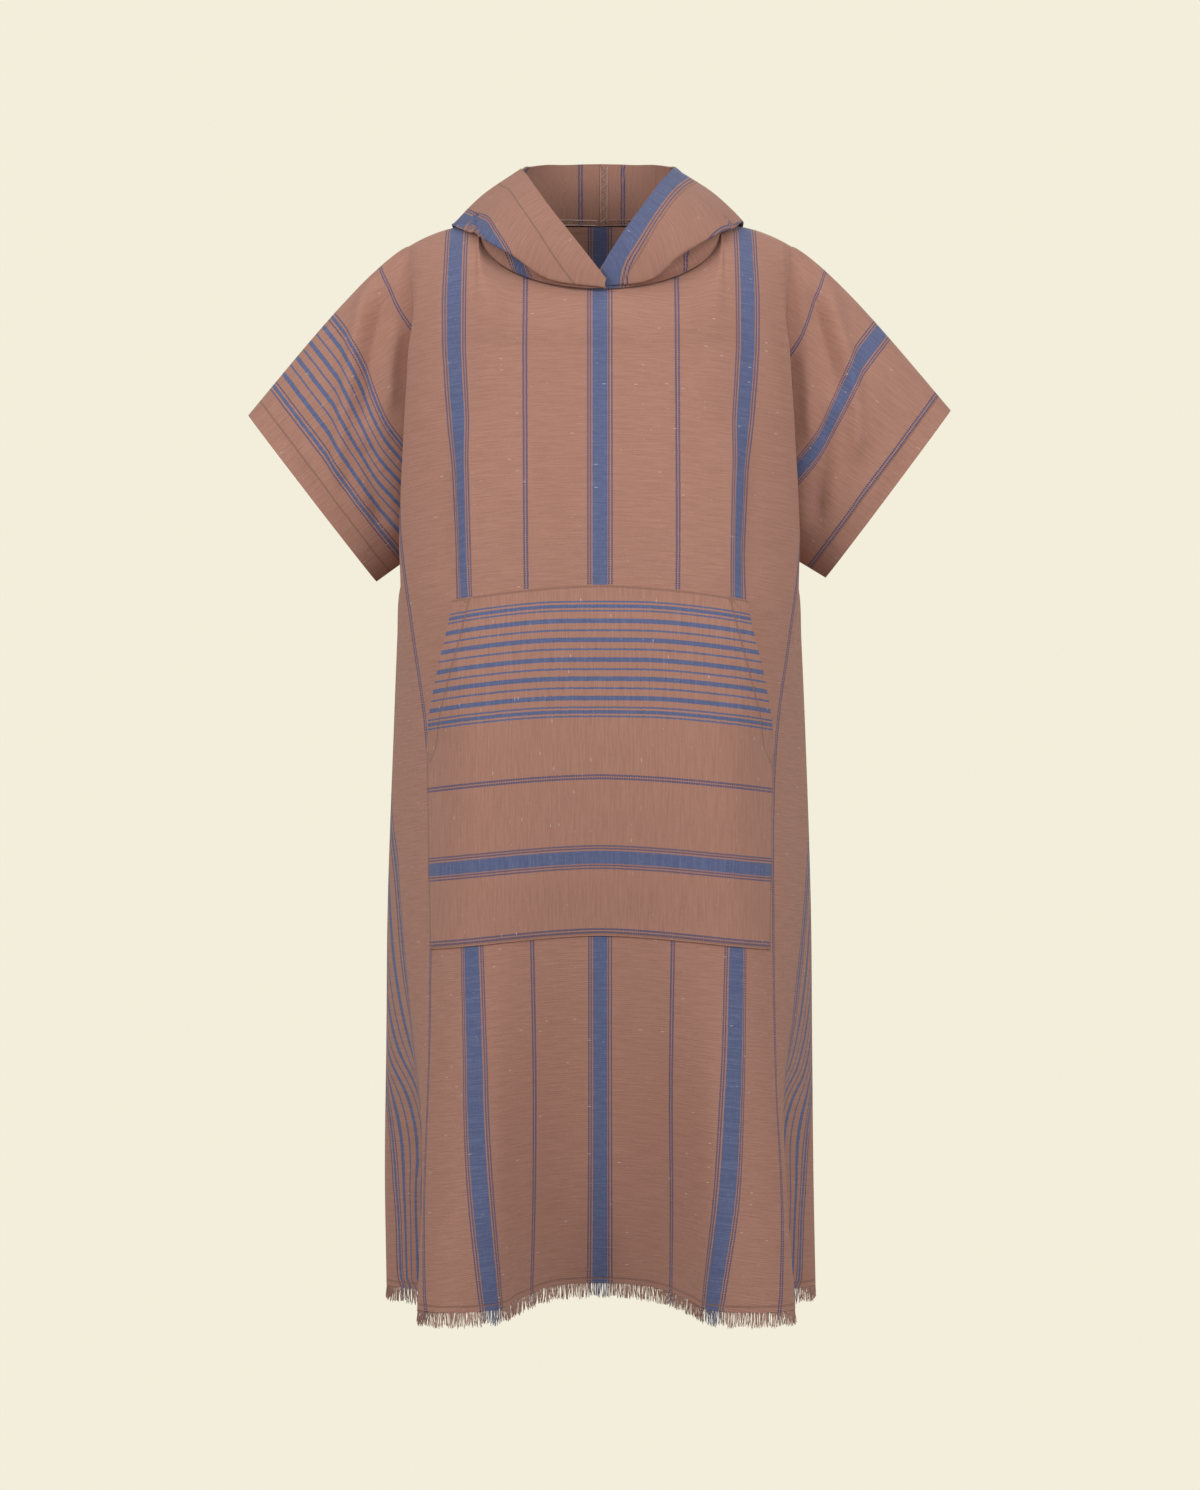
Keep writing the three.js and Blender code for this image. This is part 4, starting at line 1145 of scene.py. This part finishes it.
hood_threads = {}
for side in ("left", "right"):
    grid, normals = hood_shapes[side]
    inner = normals * (-1 if normals[-1, HOOD_STEPS[0] // 2, 1] > 0 else 1)
    back_stations = slice(HOOD_STATIONS - 30, HOOD_STATIONS)
    paths = overlock(grid[back_stations], inner[back_stations], 0.8, 6.0)
    if side == "right":
        up = slice(1, 44)
        lines, facing = np.swapaxes(grid[::-1], 0, 1)[up], np.swapaxes(inner[::-1], 0, 1)[up]
        paths += overlock(lines, facing, 0.9, 7.4)
    paths = np.array(paths)
    shape = paths.shape[:2]
    hood_threads[side] = thread_mesh(
        f"threads_hood_{side}", paths, np.full(shape, SEAM_YARN["radius"]),
        np.full((*shape, 2), NO_STITCH), seam_yarn,
    )


# Pocket

def front_place(x, drop):
    """Places on the front's sections at drops that lie at a distance from the middle line."""
    lines = front_section(drop)
    low, high = np.full(len(drop), 3.0), np.full(len(drop), 7.0)
    for _ in range(24):
        guess = (low + high) / 2
        below = section_point(lines, guess)[:, 0] < x
        low, high = np.where(below, guess, low), np.where(below, high, guess)
    return (low + high) / 2


def pocket_grid():
    """The pocket's columns, on the front's own sections, and the drop of each row."""
    upper, lower = POCKET_ROWS
    top, corner, bottom = POCKET["drops"]
    drop = np.concatenate([np.linspace(top, corner, upper + 1), np.linspace(corner, bottom, lower + 1)[1:]])
    half = np.interp(drop, POCKET["drops"], POCKET["halves"])
    middle = len(FRONT_STEPS)
    inner = span_places([POCKET_EDGE_STEPS, FRONT_STEPS[-1]])
    places = np.concatenate([inner, (4 - inner[:-1])[::-1]])
    columns = []
    for place in places:
        sign = -1 if place < 2 else 1
        inward = place if place < 2 else 4 - place
        edge = front_place(sign * half, drop + POCKET["sideDroop"])
        crest = middle + sign
        at = mix(edge, crest, inward) if inward < 1 else np.full(len(drop), mix(crest, middle, inward - 1))
        to_side = np.abs(section_point(front_section(drop), at)[:, 0] / half)
        columns.append(section_point(front_section(drop + POCKET["sideDroop"] * to_side**1.6), at))
    return np.array(columns), drop


# The opening's stitches and those at the sewn edges, and the distances that the pocket stands off
OPENING_STITCH = 19
EDGE_STITCH = 1.8
STAND = {"sewn": 1.75, "middle": 1.8, "opening": 3.6}
DIP = {"depth": 2.2, "half": 42}
POCKET_CLOTH = 1.1

pocket, pocket_drop = pocket_grid()
pocket_normals = grid_normals(pocket)
columns, rows = pocket.shape[:2]
corner = POCKET_ROWS[0]
row = np.arange(rows)[None, :]
from_side = np.minimum(np.arange(columns), np.arange(columns)[::-1])[:, None] / POCKET_EDGE_STEPS
opening = smooth(4, corner * 0.5, row) * smooth(0, 10, corner - row)
middle = smooth(0, 1.2, from_side) * smooth(0, 14, row) * smooth(0, 16, rows - 1 - row)
stand = STAND["sewn"] + STAND["middle"] * middle
stand = stand + STAND["opening"] * opening * (1 - smooth(0, 1.4, from_side))
pocket_shape = creased(pocket, pocket_normals, FRONT_CREASES) - pocket_normals * stand[..., None]
across, fallen = arc_lengths(pocket_shape), down(arc_lengths, pocket_shape)
dip = DIP["depth"] * np.exp(-((pocket_shape[..., 0] / DIP["half"]) ** 2)) * (1 - smooth(30, 60, row))
pocket_uv = np.stack([pocket_drop - dip, across - across[columns // 2]], -1)

side_run = np.minimum(across, across[-1:] - across)
opening_line, edge = side_run - OPENING_STITCH, side_run - EDGE_STITCH
turned_line = np.minimum(opening_line + (row - corner) * 3.2, edge)
side_stitch = np.where(row <= corner, opening_line, turned_line)
side_stitch = np.where((row > corner) & (np.abs(edge) < np.abs(side_stitch)), edge, side_stitch)
rim = np.minimum(fallen, fallen[:, -1:] - fallen) - EDGE_STITCH
by_rim = np.abs(rim) < np.abs(side_stitch)
pocket_stitch = np.stack([np.where(by_rim, rim, side_stitch), np.where(by_rim, across, fallen)], -1)
cloth_pocket = cloth_piece(
    "cloth_pocket", pocket_shape, grid_normals(pocket_shape), pocket_uv, pocket_stitch, pocket_cloth,
    thick=POCKET_CLOTH,
)


# Fringes

fringe_yarn = cloth_material("fringe_yarn", BODY_STRIPES, pale=0.22)
FRINGE = {
    "pitch": 0.66, "length": 13.4, "shortest": 9.0, "longest": 16.0, "root": 0.46, "tip": 0.3, "points": 7,
}


def fringe(name, hem, hem_uv, normals, seed):
    """Loose threads under a hem, each coloured by the stripe that it comes from."""
    rng = np.random.default_rng(seed)
    total = arc_lengths(hem)[-1]
    count = int(total / FRINGE["pitch"])
    place = (np.arange(count) + rng.uniform(-0.4, 0.4, count)) / count * total
    place = np.clip(place, 0.4, total - 0.4)
    root, uv = at_runs(place, hem, hem), at_runs(place, hem, hem_uv)
    outward = -unit(at_runs(place, hem, normals * [1, 1, 0]))
    side = np.cross(outward, [0, 0, 1.0])
    clump = np.sin(place * 0.42 + rng.uniform(0, 0.8, count)) * 0.8 + 0.6 * np.sin(place * 0.17)
    length = FRINGE["length"] + 0.9 * np.sin(place * 0.31) + rng.normal(0, 1.1, count)
    length = np.clip(length, FRINGE["shortest"], FRINGE["longest"])
    lean = 0.8 * clump + rng.normal(0, 0.7, count)
    away = rng.normal(0, 0.9, count)
    curl = rng.normal(0, 0.4, count)
    share = np.linspace(0, 1, FRINGE["points"])
    paths = []
    for s in share:
        point = root + side * (lean * s**1.4 + curl * math.sin(s * math.pi * 1.3))[:, None]
        point = point + outward * (away * s + 0.5 * rng.uniform(-1, 1, count) * (1 - s))[:, None]
        point[:, 2] += 1.2 - s * (length + 1.2)
        paths.append(point)
    paths = np.stack(paths, 1)
    radii = np.broadcast_to(mix(FRINGE["root"], FRINGE["tip"], share), paths.shape[:2])
    cloth = np.repeat(uv[:, None, :], len(share), 1)
    cloth[..., 1] += share * 14
    return thread_mesh(name, paths, radii, cloth, fringe_yarn)


threads_front = fringe("threads_front", front_shape[:, -1], front_uv[:, -1], front_normals[:, -1], 11)
threads_back = fringe("threads_back", back_shape[:, -1], back_uv[:, -1], back_normals[:, -1], 23)


# Frame and stage

PIECES = [
    (cloth_front, "front", "body_cloth"),
    (cloth_back, "back", "body_cloth"),
    (sleeves["left"], "sleeve_left", "body_cloth"),
    (sleeves["right"], "sleeve_right", "body_cloth"),
    (hoods["left"], "hood_left", "hood_cloth"),
    (hoods["right"], "hood_right", "hood_cloth"),
    (hood_threads["left"], "hood_left", "hood_cloth"),
    (hood_threads["right"], "hood_right", "hood_cloth"),
    (cloth_pocket, "pocket", "pocket_cloth"),
    (threads_front, "fringe_front", "fringe_yarn"),
    (threads_back, "fringe_back", "fringe_yarn"),
]
for piece, node, slot in PIECES:
    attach(piece, "root")
    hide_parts(node)


# Metres, from here on
FLOOR = {"z": -1.9, "radius": 5.0, "bend": 2.0, "top": 6.0}
PAPER = (0.896, 0.855, 0.708, 1)


def backdrop():
    """Round pale floor that rises to a wall, so that every camera stands inside it."""
    radius, z, bend = FLOOR["radius"], FLOOR["z"], FLOOR["bend"]
    angles = [k / 12 * math.pi / 2 for k in range(13)]
    profile = [(radius + bend * math.sin(a), z + bend * (1 - math.cos(a))) for a in angles]
    profile.append((radius + bend, FLOOR["top"]))
    around = 96
    turns = [2 * math.pi * k / around for k in range(around)]
    vertices = [(0, 0, z)] + [(r * math.cos(a), r * math.sin(a), h) for r, h in profile for a in turns]
    faces = [(0, 1 + k, 1 + (k + 1) % around) for k in range(around)]
    for r in range(len(profile) - 1):
        for k in range(around):
            a, b = 1 + r * around + k, 1 + r * around + (k + 1) % around
            faces.append((a, a + around, b + around, b))
    mesh = bpy.data.meshes.new("backdrop")
    mesh.from_pydata(vertices, [], faces)
    mesh.polygons.foreach_set("use_smooth", [True] * len(mesh.polygons))
    material = bpy.data.materials.new("backdrop_paper")
    material.use_nodes = True
    surface = material.node_tree.nodes["Principled BSDF"].inputs
    surface["Base Color"].default_value = (0.0, 0.0, 0.0, 1)
    surface["Roughness"].default_value = 1.0
    surface["Specular IOR Level"].default_value = 0.0
    surface["Emission Color"].default_value = PAPER
    surface["Emission Strength"].default_value = 1.0
    mesh.materials.append(material)
    floor = placed("backdrop", mesh)
    floor.visible_diffuse = False
    floor.visible_shadow = False


def soft_light(name, location, target, size, power):
    light = bpy.data.lights.new(name, "AREA")
    light.shape = "RECTANGLE"
    light.size, light.size_y = size
    light.energy = power
    lamp = placed(name, light)
    lamp.location = location
    lamp.rotation_mode = "QUATERNION"
    lamp.rotation_quaternion = (Vector(target) - Vector(location)).to_track_quat("-Z", "Y")


backdrop()
# Name, place, aim, size and watts of each light
for light in (
    ("key", (-2.3, -2.0, 0.6), (0, 0, -0.5), (1.3, 1.8), 46),
    ("fill", (2.3, -2.0, 0.5), (0, 0, -0.5), (1.3, 1.8), 41),
    ("front", (0, -3.0, 1.1), (0, 0, -0.6), (1.6, 0.8), 20),
    ("top", (0, -0.2, 2.0), (0, 0, -0.2), (1.8, 1.2), 11),
    ("rear", (0.5, 2.6, 1.2), (0, 0, -0.4), (1.6, 1.2), 40),
):
    soft_light(*light)

world = bpy.data.worlds.new("studio")
bpy.context.scene.world = world
world.use_nodes = True
background = world.node_tree.nodes["Background"].inputs
background[0].default_value = (1.0, 0.99, 0.97, 1)
background[1].default_value = 0.22
bpy.context.scene.view_settings.view_transform = "Standard"

lens = bpy.data.cameras.new("camera")
lens.lens = 77.315
lens.sensor_width = 36
lens.clip_end = 50
camera = placed("camera", lens)
camera.location = (0, -3.2, -0.537)
camera.rotation_euler = (math.pi / 2, 0, 0)
bpy.context.scene.camera = camera
